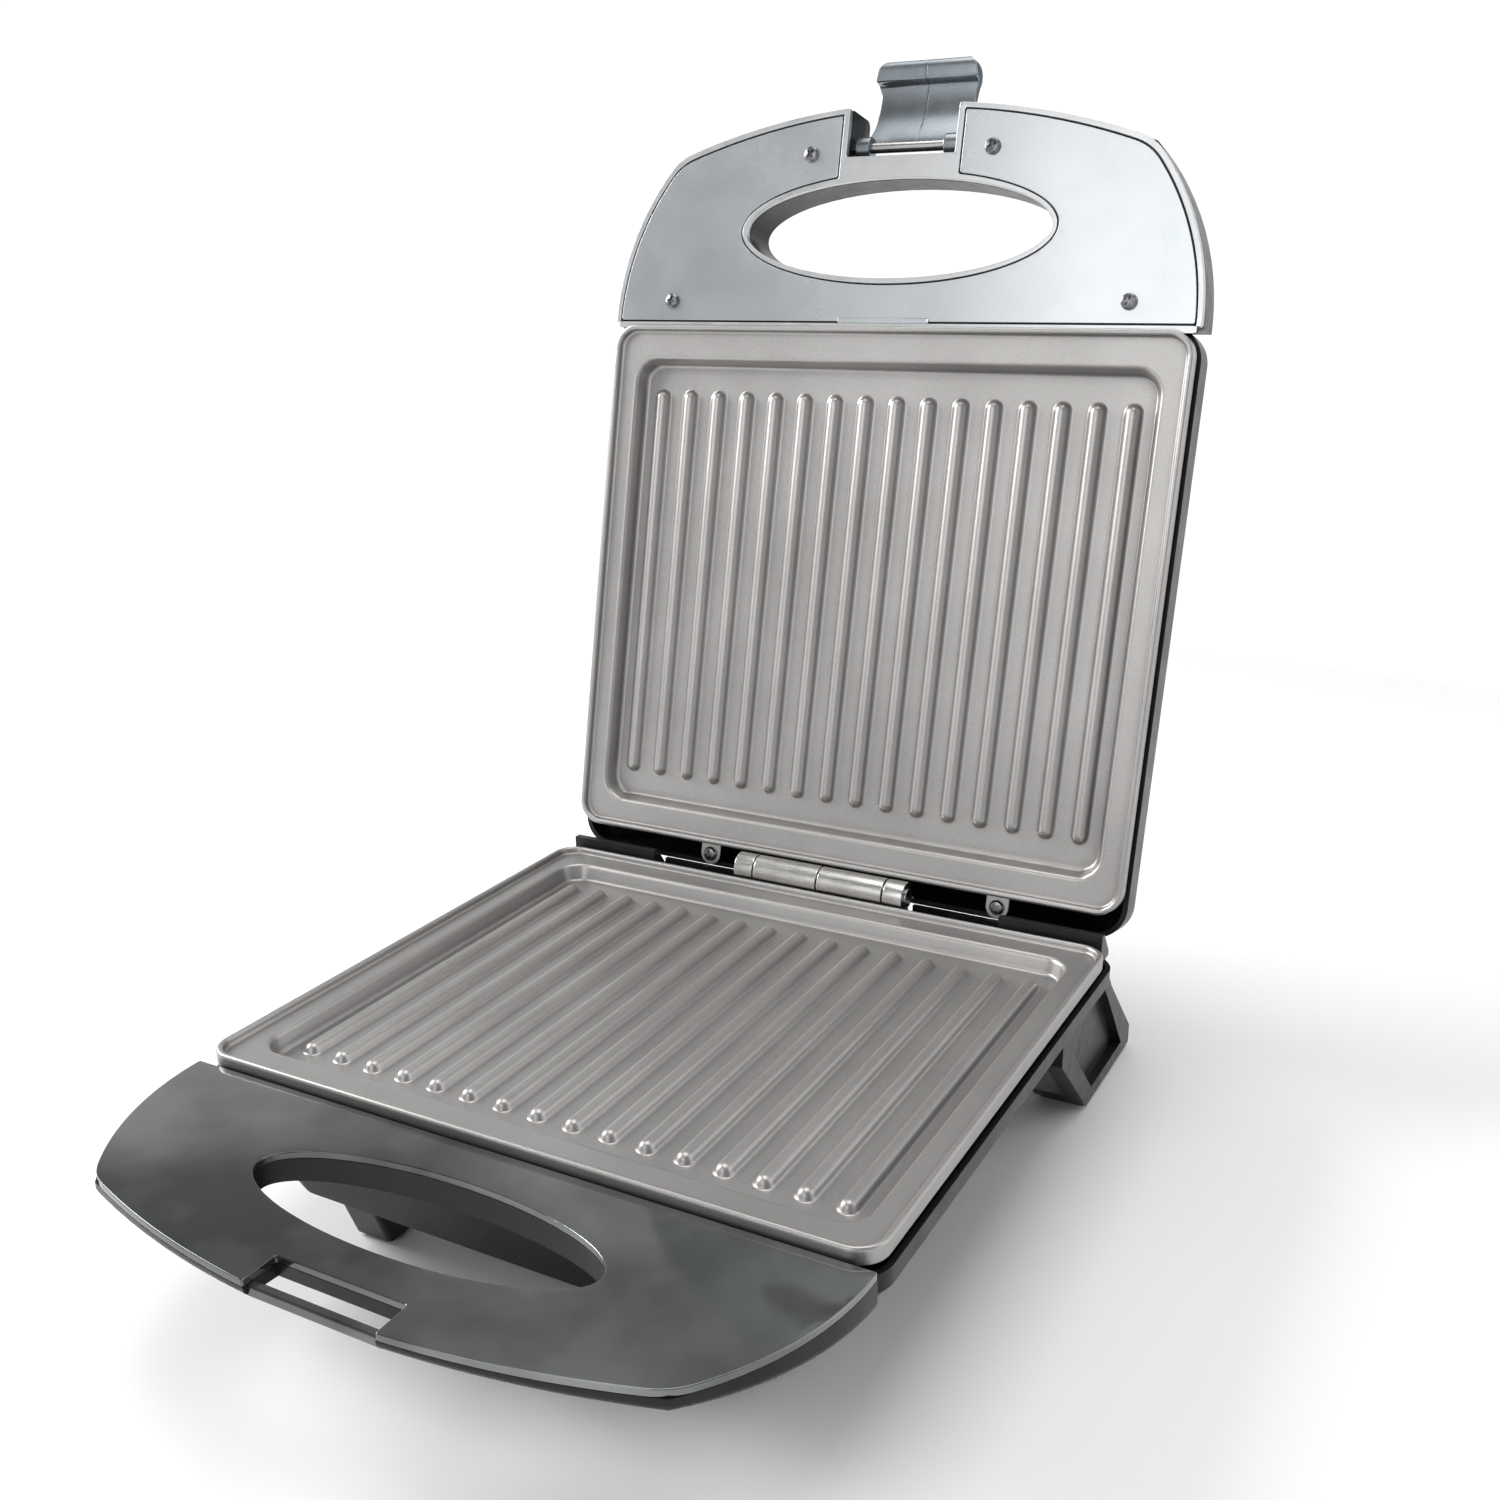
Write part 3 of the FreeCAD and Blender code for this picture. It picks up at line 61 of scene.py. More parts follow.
def node_material(name):
    """A material with only an output and a Principled shader."""
    material = bpy.data.materials.new(name)
    material.use_nodes = True
    tree = material.node_tree
    tree.nodes.clear()
    output = tree.nodes.new("ShaderNodeOutputMaterial")
    shader = tree.nodes.new("ShaderNodeBsdfPrincipled")
    tree.links.new(shader.outputs["BSDF"], output.inputs["Surface"])
    return material, tree, shader


def noise(tree, coords, scale, detail=3.0, roughness=0.55, stretch=None):
    """A noise texture on the piece's own coordinates; stretch scales each axis."""
    source = coords
    if stretch is not None:
        mapping = tree.nodes.new("ShaderNodeMapping")
        mapping.inputs["Scale"].default_value = stretch
        tree.links.new(coords, mapping.inputs["Vector"])
        source = mapping.outputs["Vector"]
    texture = tree.nodes.new("ShaderNodeTexNoise")
    texture.inputs["Scale"].default_value = scale
    texture.inputs["Detail"].default_value = detail
    texture.inputs["Roughness"].default_value = roughness
    tree.links.new(source, texture.inputs["Vector"])
    return texture.outputs["Fac"]


def spread(tree, value, low, high, start=0.3, end=0.7):
    """Map the values from start to end to the range low..high; the default is a noise's middle range."""
    node = tree.nodes.new("ShaderNodeMapRange")
    node.inputs["From Min"].default_value = start
    node.inputs["From Max"].default_value = end
    node.inputs["To Min"].default_value = low
    node.inputs["To Max"].default_value = high
    tree.links.new(value, node.inputs["Value"])
    return node.outputs["Result"]


def colours(tree, value, dark, light, start=0.3, end=0.7):
    """Map the values from start to end to the colours from dark to light."""
    ramp = tree.nodes.new("ShaderNodeValToRGB")
    ramp.color_ramp.elements[0].position = start
    ramp.color_ramp.elements[0].color = (*dark, 1.0)
    ramp.color_ramp.elements[1].position = end
    ramp.color_ramp.elements[1].color = (*light, 1.0)
    tree.links.new(value, ramp.inputs["Fac"])
    return ramp.outputs["Color"]


def multiplied(tree, first, second):
    """The product of two colours."""
    node = tree.nodes.new("ShaderNodeMix")
    node.data_type = "RGBA"
    node.blend_type = "MULTIPLY"
    node.inputs["Factor"].default_value = 1.0
    tree.links.new(first, node.inputs["A"])
    tree.links.new(second, node.inputs["B"])
    return node.outputs["Result"]


def add_bump(tree, shader, heights):
    """Stack bumps: heights is a list of (height socket, strength, distance in metres)."""
    normal = None
    for height, strength, distance in heights:
        bump = tree.nodes.new("ShaderNodeBump")
        bump.inputs["Strength"].default_value = strength
        bump.inputs["Distance"].default_value = distance
        tree.links.new(height, bump.inputs["Height"])
        if normal is not None:
            tree.links.new(normal, bump.inputs["Normal"])
        normal = bump.outputs["Normal"]
    tree.links.new(normal, shader.inputs["Normal"])


# Painted shade in the groove round the lid's handle panel.
GROOVE_SHADE_SHARE = 0.04     # how much of its colour a surface keeps at the bottom of a groove


def paint_groove_shade(tree, coords, colour, levels):
    """Painted shade: darken a colour between two levels of the lid's own frame, and all that lies below
    them.
    """
    facing = (LID.to_3x3() @ Vector((0.0, 0.0, 1.0))).normalized()
    product = tree.nodes.new("ShaderNodeVectorMath")
    product.operation = "DOT_PRODUCT"
    product.inputs[1].default_value = facing
    tree.links.new(coords, product.inputs[0])
    low, high = [(LID @ Vector((0.0, 0.0, level))).dot(facing) for level in levels]
    share = spread(tree, product.outputs["Value"], GROOVE_SHADE_SHARE, 1.0, low, high)
    return multiplied(tree, colour, share)


SMUDGE_FINENESS = 2.3                   # the uneven gloss, against the mottle of the colour
WAVE_SCALE, WAVE_STRENGTH = 14.0, 0.6   # the slight waviness of a sheet or a moulding


def make_surface(name, dark, light, rough, metallic=0.0, mottle=60.0, grain=2500.0,
                 grain_depth=0.00002, grain_strength=0.25, coat=0.0, coat_rough=0.1, wave=0.0,
                 specular=0.5, groove_shade=None, ends=(0.3, 0.7)):
    """A moulded, cast or painted surface: mottled colour, uneven gloss and a fine grain.

    dark and light are the ends of its colour, rough the ends of its roughness.  mottle and grain are
    the scales of the broad variation and of the fine relief, in cells per metre; grain_depth and wave
    are depths in metres.  ends are the values of the broad variation where the darkest and the
    lightest colour are reached.  groove_shade gives two levels of the lid's own frame: painted shade
    darkens the colour from the upper one down to the lower one."""
    material, tree, shader = node_material(name)
    coords = tree.nodes.new("ShaderNodeTexCoord").outputs["Object"]
    broad = noise(tree, coords, mottle, detail=4.0)
    fine = noise(tree, coords, grain, detail=2.0)
    colour = colours(tree, broad, dark, light, *ends)
    # Painted shade: the colour darkens towards the bottom of the lid handle's groove.
    if groove_shade is not None:
        colour = paint_groove_shade(tree, coords, colour, groove_shade)
    tree.links.new(colour, shader.inputs["Base Color"])
    smudge = noise(tree, coords, mottle * SMUDGE_FINENESS, detail=5.0, roughness=0.65)
    tree.links.new(spread(tree, smudge, rough[0], rough[1]), shader.inputs["Roughness"])
    shader.inputs["Metallic"].default_value = metallic
    shader.inputs["Specular IOR Level"].default_value = specular
    shader.inputs["Coat Weight"].default_value = coat
    shader.inputs["Coat Roughness"].default_value = coat_rough
    heights = [(fine, grain_strength, grain_depth)]
    if wave > 0.0:
        heights.insert(0, (noise(tree, coords, WAVE_SCALE, detail=1.0), WAVE_STRENGTH, wave))
    add_bump(tree, shader, heights)
    return material


SPRAY_SCALE, FLAKE_SCALE, PEEL_SCALE = 22.0, 3600.0, 420.0
# Painted shade: the plate's colour darkens within this reach of a wall or a rib.
HOLLOW_SHADE_REACH = 0.007    # how far off a wall still darkens the plate beside it, in metres


def make_plate_coat():
    """Satin sprayed coating on cast aluminium: warm grey, metallic flake, faint spray mottle.

    Painted shade darkens the colour in the hollows by the ribs and the walls.
    """
    material, tree, shader = node_material("plate_coat")
    coords = tree.nodes.new("ShaderNodeTexCoord").outputs["Object"]
    broad = noise(tree, coords, SPRAY_SCALE, detail=3.0)
    flake = noise(tree, coords, FLAKE_SCALE, detail=1.0)
    sprayed = colours(tree, broad, (0.400, 0.390, 0.382), (0.460, 0.449, 0.440))
    flecked = colours(tree, flake, (0.80, 0.80, 0.80), (1.0, 1.0, 1.0), 0.38, 0.62)
    # Painted shade: ambient occlusion darkens the base colour at the rib roots and at the foot of the
    # walls.
    hollow_shade = tree.nodes.new("ShaderNodeAmbientOcclusion")
    hollow_shade.inputs["Distance"].default_value = HOLLOW_SHADE_REACH
    painted_shade_share = spread(tree, hollow_shade.outputs["AO"], 0.38, 1.0, 0.35, 0.9)
    tree.links.new(multiplied(tree, multiplied(tree, sprayed, flecked), painted_shade_share),
                   shader.inputs["Base Color"])
    tree.links.new(spread(tree, flake, 0.33, 0.44), shader.inputs["Roughness"])
    shader.inputs["Metallic"].default_value = 0.85
    peel = noise(tree, coords, PEEL_SCALE)
    add_bump(tree, shader, [(peel, 0.10, 0.00005), (flake, 0.2, 0.00002)])
    return material


SCRATCH_SCALE, SCRATCH_STRETCH, SCRATCH_DEPTH = 2600.0, 0.04, 0.00002


def make_brushed(name, dark, light, rough, along, relief=0.35):
    """Brushed or turned steel: long scratches along one axis, with a slight mottle."""
    material, tree, shader = node_material(name)
    coords = tree.nodes.new("ShaderNodeTexCoord").outputs["Object"]
    stretch = tuple(SCRATCH_STRETCH if axis == along else 1.0 for axis in "xyz")
    lines = noise(tree, coords, SCRATCH_SCALE, detail=3.0, stretch=stretch)
    broad = noise(tree, coords, 120.0, detail=4.0)
    tree.links.new(colours(tree, broad, dark, light), shader.inputs["Base Color"])
    tree.links.new(spread(tree, lines, rough[0], rough[1]), shader.inputs["Roughness"])
    shader.inputs["Metallic"].default_value = 1.0
    add_bump(tree, shader, [(lines, relief, SCRATCH_DEPTH)])
    return material


def make_lens():
    """Red plastic with a dimpled back that scatters the lamp's light."""
    material, tree, shader = node_material("red_lens")
    coords = tree.nodes.new("ShaderNodeTexCoord").outputs["Object"]
    cells = tree.nodes.new("ShaderNodeTexVoronoi")
    cells.inputs["Scale"].default_value = 900.0
    tree.links.new(coords, cells.inputs["Vector"])
    red = colours(tree, cells.outputs["Distance"], (0.55, 0.03, 0.02), (0.80, 0.09, 0.05), 0.0, 0.8)
    tree.links.new(red, shader.inputs["Base Color"])
    shader.inputs["Roughness"].default_value = 0.12
    shader.inputs["Coat Weight"].default_value = 0.5
    add_bump(tree, shader, [(cells.outputs["Distance"], 0.3, 0.0002)])
    return material


PLATE = make_plate_coat()
LID_PANEL = make_surface("lid_panel_paint", (0.44, 0.465, 0.485), (0.50, 0.525, 0.545), (0.22, 0.30),
                         metallic=0.85, mottle=9.0, grain=4200.0, grain_depth=0.000008, coat=0.3,
                         coat_rough=0.12, wave=0.0001)
# The base panel wears the same silver paint as the lid's panel: its much darker colour is painted shade,
# and its broad cloudy patches are painted reflections.
SHADED_BASE_PANEL = make_surface("base_panel_painted_shade", (0.040, 0.046, 0.043), (0.210, 0.220, 0.214), (0.05, 0.13),
                          metallic=0.8, mottle=10.0, ends=(0.40, 0.64), grain=4200.0,
                          grain_depth=0.000006, coat=0.5, coat_rough=0.05, wave=0.00035)
# The silver frame gets painted shade in the groove round the panel, below 6.7 mm of the lid's frame.
SILVER = make_surface("silver_frame_paint", (0.46, 0.47, 0.48), (0.53, 0.54, 0.55), (0.26, 0.36),
                      metallic=0.85, mottle=30.0, grain=3800.0, grain_depth=0.00001, coat=0.2,
                      groove_shade=(6.2, 6.7))
CLIP = make_surface("clip_paint", (0.20, 0.225, 0.245), (0.26, 0.285, 0.305), (0.22, 0.32),
                    metallic=0.85, mottle=30.0, grain=3800.0, grain_depth=0.00001, coat=0.2)
BLACK = make_surface("black_housing", (0.006, 0.007, 0.008), (0.012, 0.013, 0.015), (0.24, 0.36),
                     mottle=45.0, grain=1500.0, grain_depth=0.00002, specular=0.22)
LEG = make_surface("leg_plastic", (0.008, 0.009, 0.010), (0.015, 0.017, 0.019), (0.28, 0.40),
                   mottle=60.0, grain=1500.0, grain_depth=0.00004, grain_strength=0.4, specular=0.3)
COVER = make_surface("cover_plastic", (0.018, 0.018, 0.019), (0.028, 0.028, 0.030), (0.45, 0.6),
                     mottle=60.0, grain=1300.0, grain_depth=0.00005, grain_strength=0.5)
RUBBER = make_surface("rubber", (0.012, 0.012, 0.012), (0.022, 0.022, 0.022), (0.7, 0.85),
                      mottle=90.0, grain=900.0, grain_depth=0.00005, grain_strength=0.5, specular=0.3)
HINGE_STEEL = make_brushed("hinge_steel", (0.58, 0.57, 0.55), (0.70, 0.69, 0.67), (0.20, 0.30), "x",
                           relief=0.15)
PIN_STEEL = make_brushed("pin_steel", (0.42, 0.42, 0.42), (0.52, 0.52, 0.52), (0.2, 0.32), "x")
TAB_STEEL = make_brushed("tab_steel", (0.36, 0.355, 0.34), (0.46, 0.45, 0.435), (0.3, 0.42), "y")
SCREW = make_brushed("screw_steel", (0.13, 0.13, 0.14), (0.26, 0.26, 0.27), (0.22, 0.36), "y")
SHIELD = make_brushed("shield_steel", (0.40, 0.40, 0.40), (0.50, 0.50, 0.50), (0.3, 0.45), "x")
HEATER = make_brushed("heater_steel", (0.09, 0.085, 0.08), (0.15, 0.14, 0.13), (0.4, 0.55), "y")
CERAMIC = make_surface("ceramic", (0.55, 0.52, 0.45), (0.66, 0.63, 0.56), (0.5, 0.65), mottle=80.0,
                       grain=1200.0, grain_depth=0.00004)
LENS = make_lens()

NODE_MATERIALS = {
    "base_housing": BLACK, "lid_housing": BLACK, "base_bottom_cover": COVER,
    "base_handle_panel": SHADED_BASE_PANEL, "base_grill_plate": PLATE, "lid_grill_plate": PLATE,
    # The catch bar takes the base panel's painted shade and painted reflections too.
    "lid_handle_frame": SILVER, "lid_handle_panel": LID_PANEL, "base_catch_bar": SHADED_BASE_PANEL,
    "latch_clip": CLIP, "latch_pin": PIN_STEEL, "rear_leg_left": LEG, "rear_leg_right": LEG,
    "front_foot_left": LEG, "front_foot_right": LEG, "foot_pads": RUBBER, "cord_gland": RUBBER,
    "base_hinge_leaf": HINGE_STEEL, "lid_hinge_leaf": HINGE_STEEL, "hinge_pin": PIN_STEEL,
    "base_plate_tabs": TAB_STEEL, "lid_plate_tabs": TAB_STEEL, "base_plate_tab_screws": SCREW,
    "lid_plate_tab_screws": SCREW, "base_hinge_screws": SCREW, "lid_hinge_screws": SCREW,
    "lid_handle_screws": SCREW, "base_handle_screws": SCREW, "cover_screws": SCREW,
    "leg_screws": SCREW, "base_heat_shield": SHIELD, "lid_heat_shield": SHIELD,
    "base_element_clamps": SHIELD, "lid_element_clamps": SHIELD, "base_heating_element": HEATER,
    "lid_heating_element": HEATER, "base_thermostat": CERAMIC, "lid_thermostat": CERAMIC,
    "thermal_fuse": CERAMIC, "terminal_block": CERAMIC, "lamp_lenses": LENS,
    "indicator_lamps": CERAMIC,
}
for node_name, node_object in frame["nodes"].items():
    node_object.data.materials.clear()
    node_object.data.materials.append(NODE_MATERIALS[node_name])


# ------------------------------------------------------------------ mesh helpers

def mark_sharp(mesh, angle):
    """Smooth shading, with edges sharper than an angle in degrees kept crisp."""
    limit = math.radians(angle)
    work = bmesh.new()
    work.from_mesh(mesh)
    for face in work.faces:
        face.smooth = True
    for edge in work.edges:
        if len(edge.link_faces) == 2:
            edge.smooth = edge.calc_face_angle(0.0) < limit
    work.to_mesh(mesh)
    work.free()


def add_piece(name, mesh, place, body, material, nodes, sharp=32.0):
    """Put a mesh drawn in a local frame in its place, to stand for its CAD nodes."""
    mesh.transform(place)
    mark_sharp(mesh, sharp)
    mesh.materials.append(material)
    piece = bpy.data.objects.new(name, mesh)
    bpy.context.scene.collection.objects.link(piece)
    weighted = piece.modifiers.new("weighted", "WEIGHTED_NORMAL")
    weighted.keep_sharp = True
    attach(piece, body)
    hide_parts(*nodes)


MERGE_REACH = 0.0005    # points nearer than this become one, in millimetres


def mesh_from(name, vertices, faces):
    """A clean mesh: points in one place joined, and every face looking outwards."""
    mesh = bpy.data.meshes.new(name)
    mesh.from_pydata([tuple(vertex) for vertex in vertices], [], faces)
    work = bmesh.new()
    work.from_mesh(mesh)
    bmesh.ops.remove_doubles(work, verts=work.verts, dist=MERGE_REACH)
    bmesh.ops.recalc_face_normals(work, faces=work.faces)
    work.to_mesh(mesh)
    work.free()
    return mesh


WELD_REACH = 0.00001    # in metres
EDGE_STEPS, EDGE_ANGLE = 2, math.radians(30.0)


def soften(node, width):
    """Give a CAD node rounded edges of a width in millimetres, without changing its mesh."""
    item = frame["nodes"][node]
    weld = item.modifiers.new("weld", "WELD")
    weld.merge_threshold = WELD_REACH
    bevel = item.modifiers.new("bevel", "BEVEL")
    bevel.width = width * MM
    bevel.segments = EDGE_STEPS
    bevel.limit_method = "ANGLE"
    bevel.angle_limit = EDGE_ANGLE
    bevel.use_clamp_overlap = True
    bevel.harden_normals = False
    weighted = item.modifiers.new("weighted", "WEIGHTED_NORMAL")
    weighted.keep_sharp = False


# ------------------------------------------------------------------ outlines, in millimetres

def arc_points(start, end, radius, towards, step):
    """Points on the arc from start to end that bulges towards a direction, ends included."""
    start, end, towards = np.array(start, float), np.array(end, float), np.array(towards, float)
    chord = end - start
    length = np.linalg.norm(chord)
    normal = np.array([-chord[1], chord[0]]) / length
    if normal @ towards < 0:
        normal = -normal
    centre = (start + end) / 2 - normal * math.sqrt(radius * radius - length * length / 4)
    first = math.atan2(*(start - centre)[::-1])
    last = math.atan2(*(end - centre)[::-1])
    turn = (last - first + math.pi) % (2 * math.pi) - math.pi
    count = max(2, int(abs(turn) * radius / step))
    angles = first + turn * np.linspace(0, 1, count + 1)
    return [tuple(centre + radius * np.array([math.cos(a), math.sin(a)])) for a in angles]


def line_points(start, end, step):
    """Points on a straight line, at most twice a step apart, ends included."""
    length = math.dist(start, end)
    count = max(1, int(length / step))
    return [(start[0] + (end[0] - start[0]) * i / count, start[1] + (end[1] - start[1]) * i / count)
            for i in range(count + 1)]


SAME_PLACE = 0.01       # two points nearer than this count as one, in millimetres


def join_paths(paths):
    """One closed outline from paths that follow each other, without repeated points."""
    points = []
    for path in paths:
        for point in path:
            if not points or math.dist(points[-1], point) > SAME_PLACE:
                points.append(point)
    if math.dist(points[0], points[-1]) < SAME_PLACE:
        points.pop()
    return points


CORNER_ANGLE, CORNER_STEPS = 18.0, 6


def round_corners(points, reach):
    """Replace each corner of a closed outline by a smooth curve that starts reach(x, y) away from it."""
    count = len(points)
    data = np.array(points)
    after = np.roll(data, -1, axis=0) - data
    before = data - np.roll(data, 1, axis=0)
    turn = np.arctan2(before[:, 0] * after[:, 1] - before[:, 1] * after[:, 0], (before * after).sum(1))
    corners = [i for i in range(count) if abs(math.degrees(turn[i])) > CORNER_ANGLE]

    def walk(index, direction, left):
        """The place at a distance along the outline, and the index of the first point beyond it."""
        here = index
        while True:
            following = (here + direction) % count
            length = math.dist(points[here], points[following])
            if length >= left:
                share = left / length
                place = data[here] + (data[following] - data[here]) * share
                return place, following
            left -= length
            here = following

    removed = set()
    inserts = {}
    for corner in corners:
        distance = reach(*points[corner])
        start, start_index = walk(corner, -1, distance)
        end, end_index = walk(corner, 1, distance)
        here = (start_index + 1) % count
        while here != end_index:
            removed.add(here)
            here = (here + 1) % count
        curve = []
        for step in range(CORNER_STEPS + 1):
            t = step / CORNER_STEPS
            curve.append(tuple((1 - t) ** 2 * start + 2 * t * (1 - t) * data[corner] + t * t * end))
        inserts[start_index] = curve
    result = []
    for index in range(count):
        if index not in removed:
            result.append(points[index])
        if index in inserts:
            result.extend(inserts[index])
    return join_paths([result])


def ellipse_points(half, deep, centre_y, start=0.0, end=2 * math.pi, count=128):
    """Points on an ellipse of two half widths, from a start angle to an end angle, both included."""
    angles = np.linspace(start, end, count + 1)
    return [(half * math.cos(a), centre_y + deep * math.sin(a)) for a in angles]


def turned_left(points, solid_inside):
    """The outline, run so that the material lies on its left; the outline of a hole has it outside."""
    data = np.array(points, float)
    after = np.roll(data, -1, axis=0)
    area = (data[:, 0] * after[:, 1] - after[:, 0] * data[:, 1]).sum()
    return data if (area > 0) == solid_inside else data[::-1]


def offset_outline(data, distance):
    """The outline moved into its material, with mitred corners."""
    before = data - np.roll(data, 1, axis=0)
    after = np.roll(data, -1, axis=0) - data
    normals = []
    for step in (before, after):
        step = step / np.linalg.norm(step, axis=1)[:, None]
        normals.append(np.stack([-step[:, 1], step[:, 0]], -1))
    mitre = (normals[0] + normals[1]) / (1 + (normals[0] * normals[1]).sum(1))[:, None]
    return data + mitre * distance


def inside(x, y, outlines):
    """Whether a place lies in the area that the outlines enclose, holes left out."""
    crossings = 0
    for data in outlines:
        after = np.roll(data, -1, axis=0)
        spans = (data[:, 1] > y) != (after[:, 1] > y)
        step = np.where(spans, after[:, 1] - data[:, 1], 1.0)
        where = data[:, 0] + (y - data[:, 1]) / step * (after[:, 0] - data[:, 0])
        crossings += int((spans & (where > x)).sum())
    return crossings % 2 == 1


def inner_points(outlines, spacing):
    """A staggered grid of points inside the outlines and clear of them."""
    border = np.vstack(outlines)
    low, high = border.min(0), border.max(0)
    found = []
    for row, y in enumerate(np.arange(low[1] + spacing / 2, high[1], spacing * 0.87)):
        for x in np.arange(low[0] + spacing / 2 * (row % 2), high[0], spacing):
            clear = np.hypot(border[:, 0] - x, border[:, 1] - y).min() > spacing * 0.45
            if clear and inside(x, y, outlines):
                found.append((x, y))
    return found


CDT_INSIDE, CDT_REACH = 1, 1e-5     # keep the triangles inside the outlines; join points this near


def flat_mesh(name, outlines, low, high, bevel, steps=3, spacing=5.0):
    """A flat piece between two levels with rounded edges; every outline after the first is a hole."""
    turned = [turned_left(points, number == 0) for number, points in enumerate(outlines)]
    levels = []
    for step in range(steps + 1):
        angle = math.pi / 2 * step / steps
        levels.append((bevel * (1 - math.sin(angle)), low + bevel * (1 - math.cos(angle))))
    levels += [(inset, low + high - level) for inset, level in reversed(levels)]
    vertices, faces = [], []
    for data in turned:
        first = len(vertices)
        count = len(data)
        for inset, level in levels:
            vertices.extend((x, y, level) for x, y in offset_outline(data, inset))
        for ring in range(len(levels) - 1):
            for here in range(count):
                after = (here + 1) % count
                start = first + ring * count
                faces.append((start + here, start + after, start + count + after, start + count + here))
    inset_edges = [offset_outline(data, bevel) for data in turned]
    flat_points = [Vector(point) for data in inset_edges for point in data.tolist()]
    edges = []
    for data in inset_edges:
        first = len(edges)
        edges.extend((first + here, first + (here + 1) % len(data)) for here in range(len(data)))
    flat_points += [Vector(point) for point in inner_points(inset_edges, spacing)]
    places, _, triangles = delaunay_2d_cdt(flat_points, edges, [], CDT_INSIDE, CDT_REACH)[:3]
    kept = [face for face in triangles
            if inside(sum(places[index].x for index in face) / 3,
                      sum(places[index].y for index in face) / 3, inset_edges)]
    for level, flipped in ((low, True), (high, False)):
        first = len(vertices)
        vertices.extend((point.x, point.y, level) for point in places)
        for face in kept:
            corners = [first + index for index in face]
            faces.append(corners[::-1] if flipped else corners)
    return mesh_from(name, vertices, faces)


def joined(name, meshes):
    """One mesh that holds several."""
    work = bmesh.new()
    for mesh in meshes:
        work.from_mesh(mesh)
    result = bpy.data.meshes.new(name)
    work.to_mesh(result)
    work.free()
    return result


# ------------------------------------------------------------------ handle outlines

HANDLE_HALF, HANDLE_BACK, CORNER_HALF, CORNER_FRONT = 123.4, -192.0, 98.4, -257.2
NOSE, SIDE_RADIUS, HOLE_CENTRE, NOTCH_HALF = -274.5, 97.0, -228.2, 22.6
CORNER_SHARE = 0.6                          # how much of an inset the outer corners move inwards
ROUND_REACH, SHARP_REACH = 6.0, 0.9         # the rounding of the outer corners and of all others


def handle_sides(inset, back=HANDLE_BACK):
    """The handle's outline as four paths: back (right to left), left side, nose, right side."""
    half, corner_half = HANDLE_HALF - inset, CORNER_HALF - inset * CORNER_SHARE
    corner, nose = CORNER_FRONT + inset, NOSE + inset
    rise = corner - nose
    nose_radius = (corner_half ** 2 + rise ** 2) / (2 * rise)
    back_path = line_points((half, back), (-half, back), 6.0)
    left = arc_points((-half, back), (-corner_half, corner), SIDE_RADIUS, (-1, 0), 2.0)
    front = arc_points((-corner_half, corner), (corner_half, corner), nose_radius, (0, -1), 3.0)
    right = arc_points((corner_half, corner), (half, back), SIDE_RADIUS, (1, 0), 2.0)
    return back_path, left, front, right


def corner_reach(x, y):
    """Corners by the notch and at the back of a handle are nearly sharp, the two outer ones round."""
    return ROUND_REACH if abs(x) > 60.0 and y < -240.0 else SHARP_REACH


def split_nose(front, half):
    """The nose's path before and after an opening of a half width, and the Y where it is cut."""
    path = np.array(front)
    edge_y = float(np.interp(-half, path[:, 0], path[:, 1]))
    before = [tuple(p) for p in path if p[0] < -half - 0.5] + [(-half, edge_y)]
    after = [(half, edge_y)] + [tuple(p) for p in path if p[0] > half + 0.5]
    return before, after, edge_y


def handle_outline(inset, notch_half, notch_back):
    """The handle's outline with the clip's notch cut into its nose."""
    back_path, left, front, right = handle_sides(inset)
    before, after, edge_y = split_nose(front, notch_half)
    notch = (line_points((-notch_half, edge_y), (-notch_half, notch_back), 2.0)
             + line_points((-notch_half, notch_back), (notch_half, notch_back), 4.0)
             + line_points((notch_half, notch_back), (notch_half, edge_y), 2.0))
    return round_corners(join_paths([back_path, left, before, notch, after, right]), corner_reach)


# ------------------------------------------------------------------ grill plates

PLATE_HALF, PLATE_FRONT, PLATE_REAR, PLATE_CORNER = 122.4, -191.1, 25.1, 10.0
CAVITY_HALF, CAVITY_FRONT, CAVITY_REAR, CAVITY_CORNER = 112.1, -177.6, 12.9, 10.0
FLOOR, LAND, LIP, FLANGE_LOW, PAN_LOW = 1.2, 7.7, 10.3, 4.6, -1.8
RIB_PITCH, RIB_COUNT, RIB_LENGTH, RIB_RADIUS, RIB_SINK = 13.5, 16, 164.9, 3.0, 0.15
RIB_ROW_HALF = RIB_PITCH * (RIB_COUNT - 1) / 2
ROOT_START, ROOT_END = 2.75, 3.85           # a rib's root fillet, from its centre line
FLOOR_INSET = 3.6                           # from the cavity's top edge in to the flat floor's edge
SIDE_LINE = CAVITY_HALF - CAVITY_CORNER     # the corners of the cavity start at these three lines
FRONT_LINE, REAR_LINE = CAVITY_FRONT + CAVITY_CORNER, CAVITY_REAR - CAVITY_CORNER
MIDDLE = -50.0                              # a Y well between the cavity's front and rear corners

# The lines of the floor's grid across a rib, from its centre line outwards.
RIB_STEPS = [0.0, 0.6, 1.15, 1.65, 2.1, 2.45, 2.75, 2.95, 3.2, 3.5, 3.85, 4.8]

